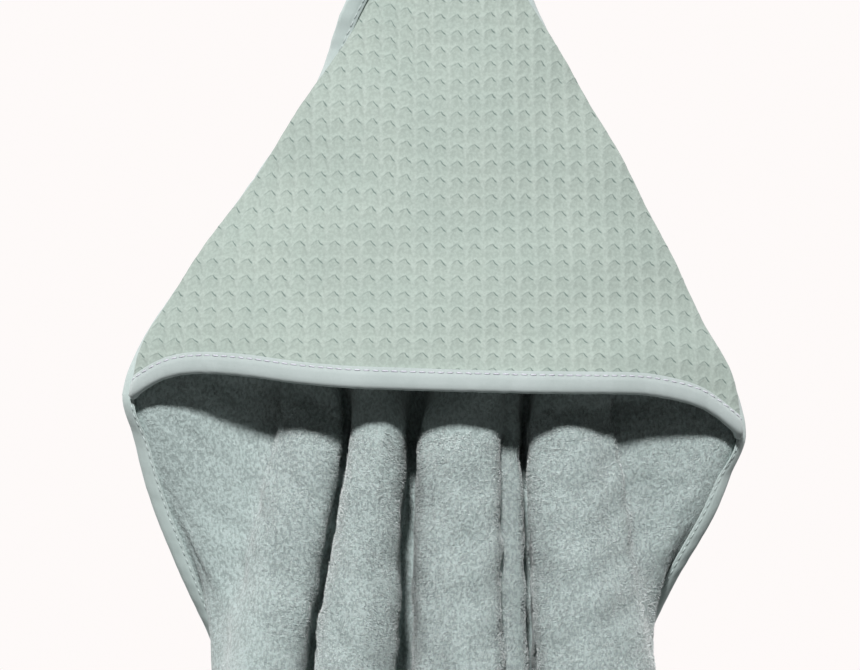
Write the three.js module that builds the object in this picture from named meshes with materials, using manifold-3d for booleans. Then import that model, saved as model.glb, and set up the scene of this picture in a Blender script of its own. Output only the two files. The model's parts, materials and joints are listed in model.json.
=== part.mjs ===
// Baby bath cape: a square terry towel with a hood panel sewn over one corner, hung by a loop.
// Millimetres, +Z up, the front faces -Y. The origin is the inner top of the hanging loop.
import * as THREE from "three";
import Module from "manifold-3d";

// Cut sizes
const clothSide = 750;
const cornerRounding = 24;
const hoodLeg = 247;
const tapeWidth = 9;
const towelWall = 2.6;
const panelWall = 2;
const edgeWall = 1.5;
const tapeWall = 0.9;
const seamGap = 0.3;
const noseLength = 1.4;
const tipArm = 5;
const flange = tapeWidth - noseLength;
const layerShift = towelWall / 2 + 0.3;
const panelShift = panelWall / 2 + 0.35;

// How it hangs: the tip below the loop, then the reaches down the cloth where the folds are given
const tipDrop = 20;
const openReach = 235;
const chestReach = 325;
const waistReach = 470;
const hemReach = 760;
const foldStart = 70;
const pleatStart = 150;
const bulgePower = 2.2;

// The hood seams, by drop below the tip: where the fabric ends at each side, the angle that the
// seam turns back from the front plane, and how far the panel stands out in the middle
const seams = [
  { drop: 0, left: -0.8, right: 0.8, turnLeft: 0, turnRight: 0, bulge: 0 },
  { drop: 6, left: -6.5, right: 5.5, turnLeft: 0, turnRight: 0, bulge: 0.2 },
  { drop: 24, left: -20.5, right: 16.5, turnLeft: 0, turnRight: 30, bulge: 1.4 },
  { drop: 46, left: -36.4, right: 28.4, turnLeft: 0, turnRight: 66, bulge: 5.4 },
  { drop: 60, left: -43.6, right: 37.2, turnLeft: 30, turnRight: 80, bulge: 8.2 },
  { drop: 76, left: -53.2, right: 46.8, turnLeft: 76, turnRight: 88, bulge: 11 },
  { drop: 110, left: -76.9, right: 65.8, turnLeft: 90, turnRight: 90, bulge: 16 },
  { drop: 150, left: -104.6, right: 87.6, turnLeft: 90, turnRight: 90, bulge: 22 },
  { drop: 180, left: -125.2, right: 101.2, turnLeft: 80, turnRight: 88, bulge: 26.5 },
  { drop: 192, left: -129.4, right: 109.2, turnLeft: 66, turnRight: 84, bulge: 28.2 },
  { drop: 204.4, left: -131, right: 113.2, turnLeft: 44, turnRight: 78, bulge: 30 },
  { drop: 220.4, left: -131, right: 114.6, turnLeft: 44, turnRight: 58, bulge: 31 }
];
const leftCorner = 204.4;
const rightCorner = 220.4;

// The hood opening: height of its edge by its share of the way across
const openingEdge = [
  { share: 0, z: -224.4 },
  { share: 0.03, z: -218.2 },
  { share: 0.06, z: -215 },
  { share: 0.11, z: -213.4 },
  { share: 0.2, z: -215 },
  { share: 0.26, z: -217.4 },
  { share: 0.36, z: -219.6 },
  { share: 0.5, z: -220.6 },
  { share: 0.66, z: -221.6 },
  { share: 0.84, z: -222 },
  { share: 0.94, z: -227.4 },
  { share: 1, z: -240.4 }
];

// Lines that run down the towel, in order across it, with their plan place [x, y] at the hood
// opening, the chest, the waist and the hem. Fronts stand forward and gullies lie back
const folds = [
  { name: "left flap", open: [-103, 6], chest: [-98.5, 19], waist: [-103, 46], hem: [-148, 78] },
  { name: "left tuck", open: [-74, 7], chest: [-92, 11], waist: [-101, 24], hem: [-116, 34] },
  { name: "fold 2 side", open: [-69.5, 2.5], chest: [-88, 0], waist: [-113, -2], hem: [-156, -6] },
  { name: "fold 2 front", open: [-60, -1.5], chest: [-80, -8], waist: [-95, -18], hem: [-122, -38] },
  { name: "fold 2 right", open: [-47.6, 0], chest: [-63, -4.5], waist: [-74, -11], hem: [-95, -20] },
  { name: "gully 2 3", open: [-46.8, 12], chest: [-61.8, 20], waist: [-69.6, 28], hem: [-87.6, 46] },
  { name: "gully 3 2", open: [-42.2, 12], chest: [-56.6, 21], waist: [-64, 29], hem: [-80.4, 47] },
  { name: "fold 3 left", open: [-41, -9.5], chest: [-54.8, -14], waist: [-60.5, -19], hem: [-73, -27] },
  { name: "fold 3 front", open: [-31.5, -15], chest: [-40.8, -21.5], waist: [-45, -30], hem: [-54, -42] },
  { name: "fold 3 right", open: [-22.8, -9], chest: [-26.8, -13.5], waist: [-29.6, -18], hem: [-37, -26] },
  { name: "gully 3 4", open: [-21.8, 12], chest: [-25.2, 21], waist: [-27, 30], hem: [-31, 49] },
  { name: "gully 4 3", open: [-15.4, 13], chest: [-17.2, 22], waist: [-18, 31], hem: [-21, 50] },
  { name: "fold 4 left", open: [-13.8, -10], chest: [-15, -15], waist: [-14.4, -20], hem: [-13, -28] },
  { name: "fold 4 front", open: [0, -16.5], chest: [0.5, -23], waist: [3, -31], hem: [10, -42] },
  { name: "fold 4 right", open: [14.2, -11.5], chest: [15.8, -17], waist: [21.5, -21], hem: [34, -27] },
  { name: "strip crease", open: [17, -2.5], chest: [19, -5], waist: [26, -5], hem: [41, -2] },
  { name: "strip", open: [23.8, -2.2], chest: [26, -4.4], waist: [34.5, -2], hem: [53.5, 6] },
  { name: "gully 4 5", open: [25, 11], chest: [27.6, 19], waist: [38.5, 29], hem: [61, 48] },
  { name: "gully 5 4", open: [29, 12], chest: [32.2, 20], waist: [44, 30], hem: [66, 49] },
  { name: "fold 5 left", open: [30.2, -5.5], chest: [34.4, -11], waist: [48, -17], hem: [75, -24] },
  { name: "fold 5 front", open: [46, -10], chest: [55, -17], waist: [70, -27], hem: [101, -40] },
  { name: "fold 5 side", open: [61.5, -2], chest: [72.5, -4.5], waist: [99, -6], hem: [138, -10] },
  { name: "right tuck", open: [65.5, 3.5], chest: [77.5, 8], waist: [88, 22], hem: [104, 32] },
  { name: "right flap", open: [88, 4], chest: [78.5, 15], waist: [87, 42], hem: [132, 74] }
];

// The towel's cut edges below the hood, and the angle at which the flap leaves each of them
const leftRim = [
  { reach: 288, x: -123.6, y: 17, facing: 18 },
  { reach: 325, x: -111.2, y: 26, facing: 12 },
  { reach: 366, x: -97, y: 44, facing: 56 },
  { reach: 430, x: -90, y: 66, facing: 100 },
  { reach: 540, x: -88, y: 90, facing: 127 },
  { reach: 760, x: -86, y: 117, facing: 146 }
];
const rightRim = [
  { reach: 272, x: 106, y: 11, facing: 32 },
  { reach: 316, x: 86.6, y: 24, facing: 40 },
  { reach: 345, x: 76.5, y: 37, facing: 62 },
  { reach: 430, x: 74, y: 66, facing: 106 },
  { reach: 540, x: 78, y: 90, facing: 130 },
  { reach: 760, x: 84, y: 115, facing: 144 }
];

// Rows of the mesh, by reach down the towel's side, and the steps between fold lines
const hoodRows = [8, 24, 42, 58, 76, 102, 132, 164, 196, 222, 237.5, 247];
const towelRows = [252, 268, 292, 324, 364, 414, 472, 536, 602, 666, 718, 727];
const stepsPerFold = 2;
const lineStep = 4;

function ease(from, to, value) {
  const share = Math.min(1, Math.max(0, (value - from) / (to - from)));
  return share * share * (3 - 2 * share);
}

function mix(from, to, share) {
  return from + (to - from) * share;
}

// Reads a table between its rows
function lookUp(table, key, at, column) {
  const last = table.length - 1;
  if (at <= table[0][key]) {
    return table[0][column];
  }
  for (let row = 1; row <= last; row += 1) {
    if (at <= table[row][key]) {
      const share = (at - table[row - 1][key]) / (table[row][key] - table[row - 1][key]);
      return mix(table[row - 1][column], table[row][column], share);
    }
  }
  return table[last][column];
}

// One seam at a drop: its root, its outer edge, and the directions out of it and through it
function seamAt(side, drop) {
  const left = side < 0;
  const x = lookUp(seams, "drop", drop, left ? "left" : "right");
  const turn = THREE.MathUtils.degToRad(lookUp(seams, "drop", drop, left ? "turnLeft" : "turnRight"));
  const out = new THREE.Vector3(side * Math.cos(turn), Math.sin(turn), 0);
  const through = new THREE.Vector3(-side * Math.sin(turn), Math.cos(turn), 0);
  const back = Math.sin(turn);
  const root = new THREE.Vector3(x - side * 4.6 * back, 5 * back, -tipDrop - drop);
  return { x, turn, out, through, root, edge: root.clone().addScaledVector(out, flange) };
}

// Seam stations evenly along the leg, so that both layers share them
function seamByReach(side, reach) {
  const end = side < 0 ? leftCorner : rightCorner;
  const steps = 200;
  const lengths = [0];
  let before = seamAt(side, 0).root;
  for (let step = 1; step <= steps; step += 1) {
    const here = seamAt(side, (end * step) / steps).root;
    lengths.push(lengths[step - 1] + here.distanceTo(before));
    before = here;
  }
  const wanted = (Math.min(reach, hoodLeg) / hoodLeg) * lengths[steps];
  let step = 1;
  while (step < steps && lengths[step] < wanted) {
    step += 1;
  }
  const share = (wanted - lengths[step - 1]) / (lengths[step] - lengths[step - 1]);
  return seamAt(side, (end * (step - 1 + share)) / steps);
}

const seamCache = new Map();
function seam(side, reach) {
  const key = side * reach;
  if (!seamCache.has(key)) {
    seamCache.set(key, seamByReach(side, reach));
  }
  return seamCache.get(key);
}

// A smooth way through places given at several reaches, straight on after the last
function alongCloth(stations, values, reach) {
  const last = stations.length - 1;
  const slope = (low, high) => (values[high] - values[low]) / (stations[high] - stations[low]);
  const slopes = values.map((_, index) => {
    if (index === 0) {
      return slope(0, 1);
    }
    if (index === last) {
      return slope(last - 1, last) * 0.3;
    }
    const before = stations[index] - stations[index - 1];
    const after = stations[index + 1] - stations[index];
    return (slope(index - 1, index) * after + slope(index, index + 1) * before) / (before + after);
  });
  if (reach >= stations[last]) {
    return values[last] + slopes[last] * (reach - stations[last]);
  }
  let span = 0;
  while (reach > stations[span + 1]) {
    span += 1;
  }
  const length = stations[span + 1] - stations[span];
  const t = (reach - stations[span]) / length;
  const t2 = t * t;
  const t3 = t2 * t;
  return (
    values[span] * (2 * t3 - 3 * t2 + 1) +
    values[span + 1] * (3 * t2 - 2 * t3) +
    length * (slopes[span] * (t3 - 2 * t2 + t) + slopes[span + 1] * (t3 - t2))
  );
}

// Plan place of one fold line inside the hood and below it
function foldPlan(fold, reach, evenShare) {
  if (reach >= openReach) {
    const stations = [openReach, chestReach, waistReach, hemReach];
    return [0, 1].map((axis) => {
      const values = [fold.open[axis], fold.chest[axis], fold.waist[axis], fold.hem[axis]];
      return alongCloth(stations, values, reach);
    });
  }
  const share = reach / openReach;
  const left = seam(-1, reach);
  const right = seam(1, reach);
  const settled = ease(foldStart, openReach, reach);
  const [fromX, toX] = [left, right].map((place) => place.root.x + place.through.x * layerShift);
  const x = mix(mix(fromX, toX, evenShare), fold.open[0] * share, ease(pleatStart, openReach, reach));
  const layer = mix(mix(left.root.y, right.root.y, evenShare) + layerShift + 0.6, 0, settled);
  return [x, layer + fold.open[1] * share * settled];
}

// Plan place of the towel's edge below the hood, or of the line one tape width inside it
function rimPlan(side, inset, reach) {
  const corner = seam(side, hoodLeg);
  const start = corner.edge.clone().addScaledVector(corner.through, layerShift);
  const turn = THREE.MathUtils.radToDeg(corner.turn);
  const rim = [{ reach: hoodLeg, x: start.x, y: start.y, facing: turn }, ...(side < 0 ? leftRim : rightRim)];
  const stations = rim.map((row) => row.reach);
  const [x, y, facing] = ["x", "y", "facing"].map((column) =>
    alongCloth(stations, rim.map((row) => row[column]), reach)
  );
  const angle = THREE.MathUtils.degToRad(facing);
  const step = inset ? flange : 0;
  return [x - side * step * Math.cos(angle), y - step * Math.sin(angle)];
}

// Every line down the towel, with its height found from the cloth used up on the way
function buildLines() {
  const rows = [
    { side: -1, inset: false },
    { side: -1, inset: true },
    ...folds.map((fold) => ({ fold })),
    { side: 1, inset: true },
    { side: 1, inset: false }
  ];
  const chestPlan = rows.map((row) => (row.fold ? row.fold.chest : rimPlan(row.side, row.inset, chestReach)));
  const knots = [0];
  for (let line = 1; line < rows.length; line += 1) {
    const dx = chestPlan[line][0] - chestPlan[line - 1][0];
    const dy = chestPlan[line][1] - chestPlan[line - 1][1];
    knots.push(knots[line - 1] + Math.hypot(dx, dy));
  }
  const count = Math.ceil(1100 / lineStep) + 1;
  const lines = rows.map((row, index) => {
    const even = (knots[index] - knots[1]) / (knots[rows.length - 2] - knots[1]);
    const points = [];
    for (let step = 0; step < count; step += 1) {
      const reach = step * lineStep;
      if (row.side && reach <= hoodLeg) {
        const place = seam(row.side, reach);
        const start = row.inset ? place.root : place.edge;
        points.push(start.clone().addScaledVector(place.through, layerShift));
        continue;
      }
      const plan = row.fold ? foldPlan(row.fold, reach, even) : rimPlan(row.side, row.inset, reach);
      if (step === 0) {
        points.push(new THREE.Vector3(plan[0], plan[1], -tipDrop));
        continue;
      }
      const above = points[step - 1];
      const sideways = Math.hypot(plan[0] - above.x, plan[1] - above.y);
      const fall = Math.sqrt(Math.max(lineStep ** 2 - sideways ** 2, (0.3 * lineStep) ** 2));
      points.push(new THREE.Vector3(plan[0], plan[1], above.z - fall));
    }
    return points;
  });
  return { lines, knots };
}

// Weights that pass a smooth curve through the lines at a place between two of them
function curveWeights(knots, span, share) {
  const weights = new Array(knots.length).fill(0);
  const length = knots[span + 1] - knots[span];
  const t2 = share * share;
  const t3 = t2 * share;
  weights[span] += 2 * t3 - 3 * t2 + 1;
  weights[span + 1] += 3 * t2 - 2 * t3;
  const addSlope = (line, factor) => {
    const low = Math.max(0, line - 1);
    const high = Math.min(knots.length - 1, line + 1);
    const width = knots[high] - knots[low];
    weights[high] += (factor * length) / width;
    weights[low] -= (factor * length) / width;
  };
  addSlope(span, t3 - 2 * t2 + share);
  addSlope(span + 1, t3 - t2);
  return weights;
}

function pointOn(lines, weights, reach) {
  const step = Math.min(lines[0].length - 2, Math.floor(reach / lineStep));
  const share = reach / lineStep - step;
  const point = new THREE.Vector3();
  weights.forEach((weight, line) => {
    if (weight !== 0) {
      point.addScaledVector(lines[line][step], weight * (1 - share));
      point.addScaledVector(lines[line][step + 1], weight * share);
    }
  });
  return point;
}

// Reach of the square's cut edge at an angle from its diagonal, with rounded corners
function cutReach(angle) {
  const sine = Math.sqrt(Math.sin(angle) ** 2 + 0.0009);
  const square = (clothSide * Math.SQRT2) / (Math.cos(angle) + sine);
  const fromSide = Math.PI / 4 - Math.abs(angle);
  const corner = 1 - ease(0, 0.07, fromSide);
  return square - (cornerRounding - 1) * corner * corner;
}

function buildTowelGrid() {
  const { lines, knots } = buildLines();
  const columns = [];
  for (let span = 0; span < knots.length - 1; span += 1) {
    for (let step = 0; step < stepsPerFold; step += 1) {
      columns.push(curveWeights(knots, span, step / stepsPerFold));
    }
  }
  columns.push(curveWeights(knots, knots.length - 2, 1));
  // The end span has its seam line as the second column, one tape width in
  columns.splice(1, stepsPerFold - 1);
  columns.splice(columns.length - 2, stepsPerFold - 1);
  const across = [0];
  for (let column = 1; column < columns.length; column += 1) {
    const here = pointOn(lines, columns[column], chestReach);
    const before = pointOn(lines, columns[column - 1], chestReach);
    across.push(across[column - 1] + here.distanceTo(before));
  }
  const sideReach = cutReach(Math.PI / 4);
  const rows = [...hoodRows, ...towelRows];
  const start = rows[0];
  return rows.map((sideRow) => {
    const share = Math.min(1, (sideRow - start) / (sideReach - start));
    return columns.map((weights, column) => {
      const angle = (across[column] / across[across.length - 1] - 0.5) * (Math.PI / 2);
      const top = 2 + (start - 2) * (Math.abs(angle) / (Math.PI / 4));
      return pointOn(lines, weights, mix(top, cutReach(angle), share));
    });
  });
}

// The hood panel: both seams, a turn at each side, and a front that stands out in the middle
function buildPanelGrid() {
  const shares = [0.05, 0.13, 0.22, 0.32, 0.42, 0.5, 0.58, 0.68, 0.78, 0.87, 0.95];
  return hoodRows.map((reach) => {
    const left = seam(-1, reach);
    const right = seam(1, reach);
    const level = ease(0, 1, reach / hoodLeg) * (reach / hoodLeg) ** 3;
    const drop = -tipDrop - (left.root.z + right.root.z) / 2;
    const bulge = lookUp(seams, "drop", drop, "bulge");
    const turnIn = (place, side) => {
      const x = place.x - side * 3.5 * (1 - Math.sin(place.turn));
      return new THREE.Vector3(x, -0.6, place.root.z);
    };
    const leftTurn = turnIn(left, -1);
    const rightTurn = turnIn(right, 1);
    const front = shares.map((share) => {
      const away = Math.abs(2 * share - 1) ** bulgePower;
      const line = mix(left.root.z, right.root.z, share);
      const corners = mix(openingEdge[0].z, openingEdge[openingEdge.length - 1].z, share);
      const lift = (lookUp(openingEdge, "share", share, "z") - corners) * level;
      const x = mix(leftTurn.x, rightTurn.x, share);
      return new THREE.Vector3(x, -0.6 - bulge * (1 - away), line + lift);
    });
    const ends = (place) => [
      place.edge.clone().addScaledVector(place.through, -panelShift),
      place.root.clone().addScaledVector(place.through, -panelShift)
    ];
    return [...ends(left), leftTurn, ...front, rightTurn, ...ends(right).reverse()];
  });
}

function gridNormals(grid) {
  const rows = grid.length;
  const columns = grid[0].length;
  return grid.map((row, j) =>
    row.map((_, i) => {
      const across = grid[j][Math.min(columns - 1, i + 1)].clone().sub(grid[j][Math.max(0, i - 1)]);
      const down = grid[Math.min(rows - 1, j + 1)][i].clone().sub(grid[Math.max(0, j - 1)][i]);
      return across.cross(down).normalize();
    })
  );
}

function toGeometry(points, triangles) {
  const geometry = new THREE.BufferGeometry();
  geometry.setAttribute("position", new THREE.Float32BufferAttribute(points.flatMap((p) => [p.x, p.y, p.z]), 3));
  geometry.setIndex(triangles.flat());
  geometry.computeVertexNormals();
  return geometry;
}

// The same grid with its border moved out
function grownGrid(grid, spare) {
  const rows = grid.length - 1;
  const columns = grid[0].length - 1;
  return grid.map((row, j) =>
    row.map((point, i) => {
      const moved = point.clone();
      [[j === 0, 1, i], [j === rows, rows - 1, i], [i === 0, j, 1], [i === columns, j, columns - 1]].forEach(
        ([onBorder, innerJ, innerI]) => {
          if (onBorder) {
            moved.addScaledVector(point.clone().sub(grid[innerJ][innerI]).normalize(), spare);
          }
        }
      );
      return moved;
    })
  );
}

// A closed wall about a grid of middle points, thinner where the tape holds its border. Spare is
// added all round it
function wallGeometry(cloth, thickness, spare = 0) {
  const grid = spare > 0 ? grownGrid(cloth, spare) : cloth;
  const rows = grid.length;
  const columns = grid[0].length;
  const normals = gridNormals(grid);
  const inTape = (j, i) => Math.min(j, i, rows - 1 - j, columns - 1 - i) < 2;
  const half = (j, i) => (inTape(j, i) ? edgeWall : thickness) / 2 + spare;
  const points = [];
  [-1, 1].forEach((side) => {
    for (let j = 0; j < rows; j += 1) {
      for (let i = 0; i < columns; i += 1) {
        points.push(grid[j][i].clone().addScaledVector(normals[j][i], side * half(j, i)));
      }
    }
  });
  const at = (side, j, i) => side * rows * columns + j * columns + i;
  const triangles = [];
  for (let j = 0; j < rows - 1; j += 1) {
    for (let i = 0; i < columns - 1; i += 1) {
      triangles.push([at(0, j, i), at(0, j + 1, i), at(0, j, i + 1)]);
      triangles.push([at(0, j, i + 1), at(0, j + 1, i), at(0, j + 1, i + 1)]);
      triangles.push([at(1, j, i), at(1, j, i + 1), at(1, j + 1, i)]);
      triangles.push([at(1, j, i + 1), at(1, j + 1, i + 1), at(1, j + 1, i)]);
    }
  }
  const border = [];
  for (let i = 0; i < columns - 1; i += 1) {
    border.push([0, i]);
  }
  for (let j = 0; j < rows - 1; j += 1) {
    border.push([j, columns - 1]);
  }
  for (let i = columns - 1; i > 0; i -= 1) {
    border.push([rows - 1, i]);
  }
  for (let j = rows - 1; j > 0; j -= 1) {
    border.push([j, 0]);
  }
  border.forEach(([j, i], index) => {
    const [nextJ, nextI] = border[(index + 1) % border.length];
    triangles.push([at(0, j, i), at(0, nextJ, nextI), at(1, j, i)]);
    triangles.push([at(0, nextJ, nextI), at(1, nextJ, nextI), at(1, j, i)]);
  });
  return toGeometry(points, triangles);
}

// A folded tape round an edge, still solid: flat in front and behind, with a rounded nose
function tapeSection({ edge, inner, normal, front, back, arm = flange - 0.5 }) {
  const inward = inner.clone().sub(edge).normalize();
  const out = inward.clone().negate();
  out.addScaledVector(normal, -out.dot(normal)).normalize();
  const at = (along, outward, through) =>
    edge.clone().addScaledVector(inward, along).addScaledVector(out, outward).addScaledVector(normal, through);
  return [
    at(arm, 0, -front - tapeWall),
    at(arm, 0, back + tapeWall),
    at(0, 0.5, back + tapeWall),
    at(0, noseLength, (back - front) / 2),
    at(0, 0.5, -front - tapeWall)
  ];
}

function sweepGeometry(sections) {
  const count = sections[0].length;
  const triangles = [];
  for (let j = 0; j < sections.length - 1; j += 1) {
    for (let i = 0; i < count; i += 1) {
      const a = j * count + i;
      const b = j * count + ((i + 1) % count);
      triangles.push([a, a + count, b]);
      triangles.push([b, a + count, b + count]);
    }
  }
  const last = (sections.length - 1) * count;
  for (let i = 1; i < count - 1; i += 1) {
    triangles.push([0, i, i + 1]);
    triangles.push([last, last + i + 1, last + i]);
  }
  return toGeometry(sections.flat(), triangles);
}

function toSolid(wasm, geometry) {
  const vertProperties = new Float32Array(geometry.getAttribute("position").array);
  const triVerts = new Uint32Array(geometry.index.array);
  return new wasm.Manifold(new wasm.Mesh({ numProp: 3, vertProperties, triVerts }));
}

// Cuts the tape clear of the layers that it holds, which leaves its slot
function cutClear(wasm, tape, layers) {
  const cut = layers.reduce((solid, layer) => solid.subtract(toSolid(wasm, layer)), toSolid(wasm, tape));
  const bodies = cut.asOriginal().simplify(0.13).decompose().sort((a, b) => b.volume() - a.volume());
  const mesh = bodies[0].getMesh();
  const geometry = new THREE.BufferGeometry();
  const positions = new Float32Array(mesh.vertProperties);
  geometry.setAttribute("position", new THREE.BufferAttribute(positions, 3));
  geometry.setIndex(new THREE.BufferAttribute(new Uint32Array(mesh.triVerts), 1));
  return geometry;
}

// The tape round the towel: up to the tip at both ends, and over the hood panel's legs too
function buildEdgeBinding(towel, panel) {
  const last = towel.length - 1;
  const right = towel[0].length - 1;
  const middle = Math.floor(right / 2);
  const normals = gridNormals(towel);
  const single = edgeWall / 2 + seamGap;
  const doubled = layerShift + panelShift + single;
  const station = (j, i, innerJ, innerI) => {
    const front = j <= panel.length ? doubled : single;
    const place = { edge: towel[j][i], inner: towel[innerJ][innerI], normal: normals[j][i] };
    return j < 6 ? { ...place, front, back: single, arm: tipArm } : { ...place, front, back: single };
  };
  const stations = [];
  for (let i = middle - 2; i > 2; i -= 5) {
    stations.push(station(0, i, 2, i));
  }
  stations.push(station(0, 0, 1, 1));
  for (let j = 1; j < last; j += 1) {
    stations.push(station(j, 0, j, 1));
  }
  stations.push(station(last, 0, last - 1, 1));
  for (let i = 1; i < right; i += 1) {
    stations.push(station(last, i, last - 1, i));
  }
  stations.push(station(last, right, last - 1, right - 1));
  for (let j = last - 1; j > 0; j -= 1) {
    stations.push(station(j, right, j, right - 1));
  }
  stations.push(station(0, right, 1, right - 1));
  for (let i = right - 6; i > middle; i -= 5) {
    stations.push(station(0, i, 2, i));
  }
  return sweepGeometry(stations.map(tapeSection));
}

function buildOpeningBinding(panel) {
  const last = panel.length - 1;
  const normals = gridNormals(panel);
  const half = edgeWall / 2 + seamGap;
  const stations = [];
  for (let i = 2; i < panel[0].length - 2; i += 1) {
    const station = { edge: panel[last][i], inner: panel[last - 1][i], normal: normals[last][i] };
    stations.push({ ...station, front: half, back: half });
  }
  return sweepGeometry(stations.map(tapeSection));
}

// The hanging loop: a band bent over, both ends down on the tip
function buildLoop(topOfTip) {
  const bandWidth = 7;
  const bandWall = 1.3;
  const bow = 6.5;
  const foot = 2.6;
  const bottom = topOfTip;
  const steps = 16;
  const path = [];
  for (let step = 0; step <= steps; step += 1) {
    const angle = (step / steps) * Math.PI;
    const narrow = mix(bow, foot, Math.abs(Math.cos(angle)) ** 4);
    const height = bottom - bottom * Math.sin(angle) ** 0.8;
    path.push(new THREE.Vector3(-Math.cos(angle) * narrow, 0, height));
  }
  const sections = path.map((point, step) => {
    const ahead = path[Math.min(steps, step + 1)].clone().sub(path[Math.max(0, step - 1)]).normalize();
    const out = new THREE.Vector3(-ahead.z, 0, ahead.x);
    return [
      point.clone().add(new THREE.Vector3(0, -bandWidth / 2, 0)),
      point.clone().add(new THREE.Vector3(0, bandWidth / 2, 0)),
      point.clone().addScaledVector(out, bandWall).add(new THREE.Vector3(0, bandWidth / 2, 0)),
      point.clone().addScaledVector(out, bandWall).add(new THREE.Vector3(0, -bandWidth / 2, 0))
    ];
  });
  const triangles = [];
  for (let j = 0; j < sections.length - 1; j += 1) {
    for (let i = 0; i < 4; i += 1) {
      const a = j * 4 + i;
      const b = j * 4 + ((i + 1) % 4);
      triangles.push([a, b, a + 4]);
      triangles.push([b, b + 4, a + 4]);
    }
  }
  const last = (sections.length - 1) * 4;
  triangles.push([0, 2, 1], [0, 3, 2], [last, last + 1, last + 2], [last, last + 2, last + 3]);
  return toGeometry(sections.flat(), triangles);
}

function addMesh(group, name, geometry, colour, roughness) {
  const material = new THREE.MeshStandardMaterial({ color: colour, roughness, metalness: 0 });
  const mesh = new THREE.Mesh(geometry, material);
  mesh.name = name;
  group.add(mesh);
}

const wasm = await Module();
wasm.setup();
const towelGrid = buildTowelGrid();
const panelGrid = buildPanelGrid();
const openingTape = cutClear(wasm, buildOpeningBinding(panelGrid), [
  wallGeometry(panelGrid, panelWall, seamGap),
  wallGeometry(towelGrid, towelWall, seamGap)
]);
const edgeTape = cutClear(wasm, buildEdgeBinding(towelGrid, panelGrid), [
  wallGeometry(panelGrid, panelWall, seamGap),
  wallGeometry(towelGrid, towelWall, seamGap)
]);
const cape = new THREE.Group();
cape.name = "baby_bath_cape";
addMesh(cape, "towel", wallGeometry(towelGrid, towelWall), 0xa5b5b3, 0.95);
addMesh(cape, "hood_panel", wallGeometry(panelGrid, panelWall), 0xb5c2ba, 0.85);
addMesh(cape, "opening_binding", openingTape, 0xbdc9c7, 0.55);
addMesh(cape, "edge_binding", edgeTape, 0xb4c0bd, 0.55);
addMesh(cape, "hanging_loop", buildLoop(-tipDrop - 2.5), 0xb4c0bd, 0.55);
export default cape;
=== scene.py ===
import json
import math

import bmesh
import bpy
import numpy as np
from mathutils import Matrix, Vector

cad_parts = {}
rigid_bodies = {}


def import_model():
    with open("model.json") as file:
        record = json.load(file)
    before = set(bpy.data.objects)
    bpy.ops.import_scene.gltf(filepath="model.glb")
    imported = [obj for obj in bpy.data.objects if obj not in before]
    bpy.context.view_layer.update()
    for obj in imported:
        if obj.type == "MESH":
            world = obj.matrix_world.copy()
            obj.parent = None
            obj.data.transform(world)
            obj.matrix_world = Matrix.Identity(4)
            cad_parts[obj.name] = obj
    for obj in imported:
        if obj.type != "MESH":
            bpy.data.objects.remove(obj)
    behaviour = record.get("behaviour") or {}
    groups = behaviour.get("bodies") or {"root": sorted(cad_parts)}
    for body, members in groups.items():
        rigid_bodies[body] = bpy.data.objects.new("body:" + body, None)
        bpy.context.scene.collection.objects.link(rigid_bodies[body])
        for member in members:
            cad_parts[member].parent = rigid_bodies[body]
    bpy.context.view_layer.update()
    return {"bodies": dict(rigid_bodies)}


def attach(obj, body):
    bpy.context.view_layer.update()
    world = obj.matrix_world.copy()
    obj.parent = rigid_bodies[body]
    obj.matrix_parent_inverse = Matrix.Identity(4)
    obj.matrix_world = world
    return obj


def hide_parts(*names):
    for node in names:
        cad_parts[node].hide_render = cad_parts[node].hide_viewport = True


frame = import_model()
mm = 0.001

# how the cape is cut and hangs, in millimetres
cape = {
    "clothSide": 750, "cornerRounding": 24, "hoodLeg": 247, "flange": 7.6,
    "towelShift": 1.6, "panelShift": 1.35, "layerGap": 0.6, "tipDrop": 20,
    "openReach": 235, "chestReach": 325, "waistReach": 470, "hemReach": 760,
    "foldStart": 70, "pleatStart": 150, "bulgePower": 2.2,
    "leftCorner": 204.4, "rightCorner": 220.4, "seamInset": 4.6, "seamBack": 5,
    "seamSteps": 401, "seamBlur": 8, "turnBlur": 10, "middleSoft": 0.03, "cornerTurn": 0.07,
    "lineStep": 2, "lineEnd": 1100, "leastFall": 0.3, "endSlope": 0.3,
}

# drop below the tip, where the cloth ends left and right, turn of each seam in degrees, bulge
seamRows = [
    (0, -0.8, 0.8, 0, 0, 0), (6, -6.5, 5.5, 0, 0, 0.2), (24, -20.5, 16.5, 0, 30, 1.4),
    (46, -36.4, 28.4, 0, 66, 5.4), (60, -43.6, 37.2, 30, 80, 8.2), (76, -53.2, 46.8, 76, 88, 11),
    (110, -76.9, 65.8, 90, 90, 16), (150, -104.6, 87.6, 90, 90, 22),
    (180, -125.2, 101.2, 80, 88, 26.5), (192, -129.4, 109.2, 66, 84, 28.2),
    (204.4, -131, 113.2, 44, 78, 30), (220.4, -131, 114.6, 44, 58, 31),
]

# share of the way across the hood opening, height of its edge
openingRows = [
    (0, -224.4), (0.03, -218.2), (0.06, -215), (0.11, -213.4), (0.2, -215), (0.26, -217.4),
    (0.36, -219.6), (0.5, -220.6), (0.66, -221.6), (0.84, -222), (0.94, -227.4), (1, -240.4),
]

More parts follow.
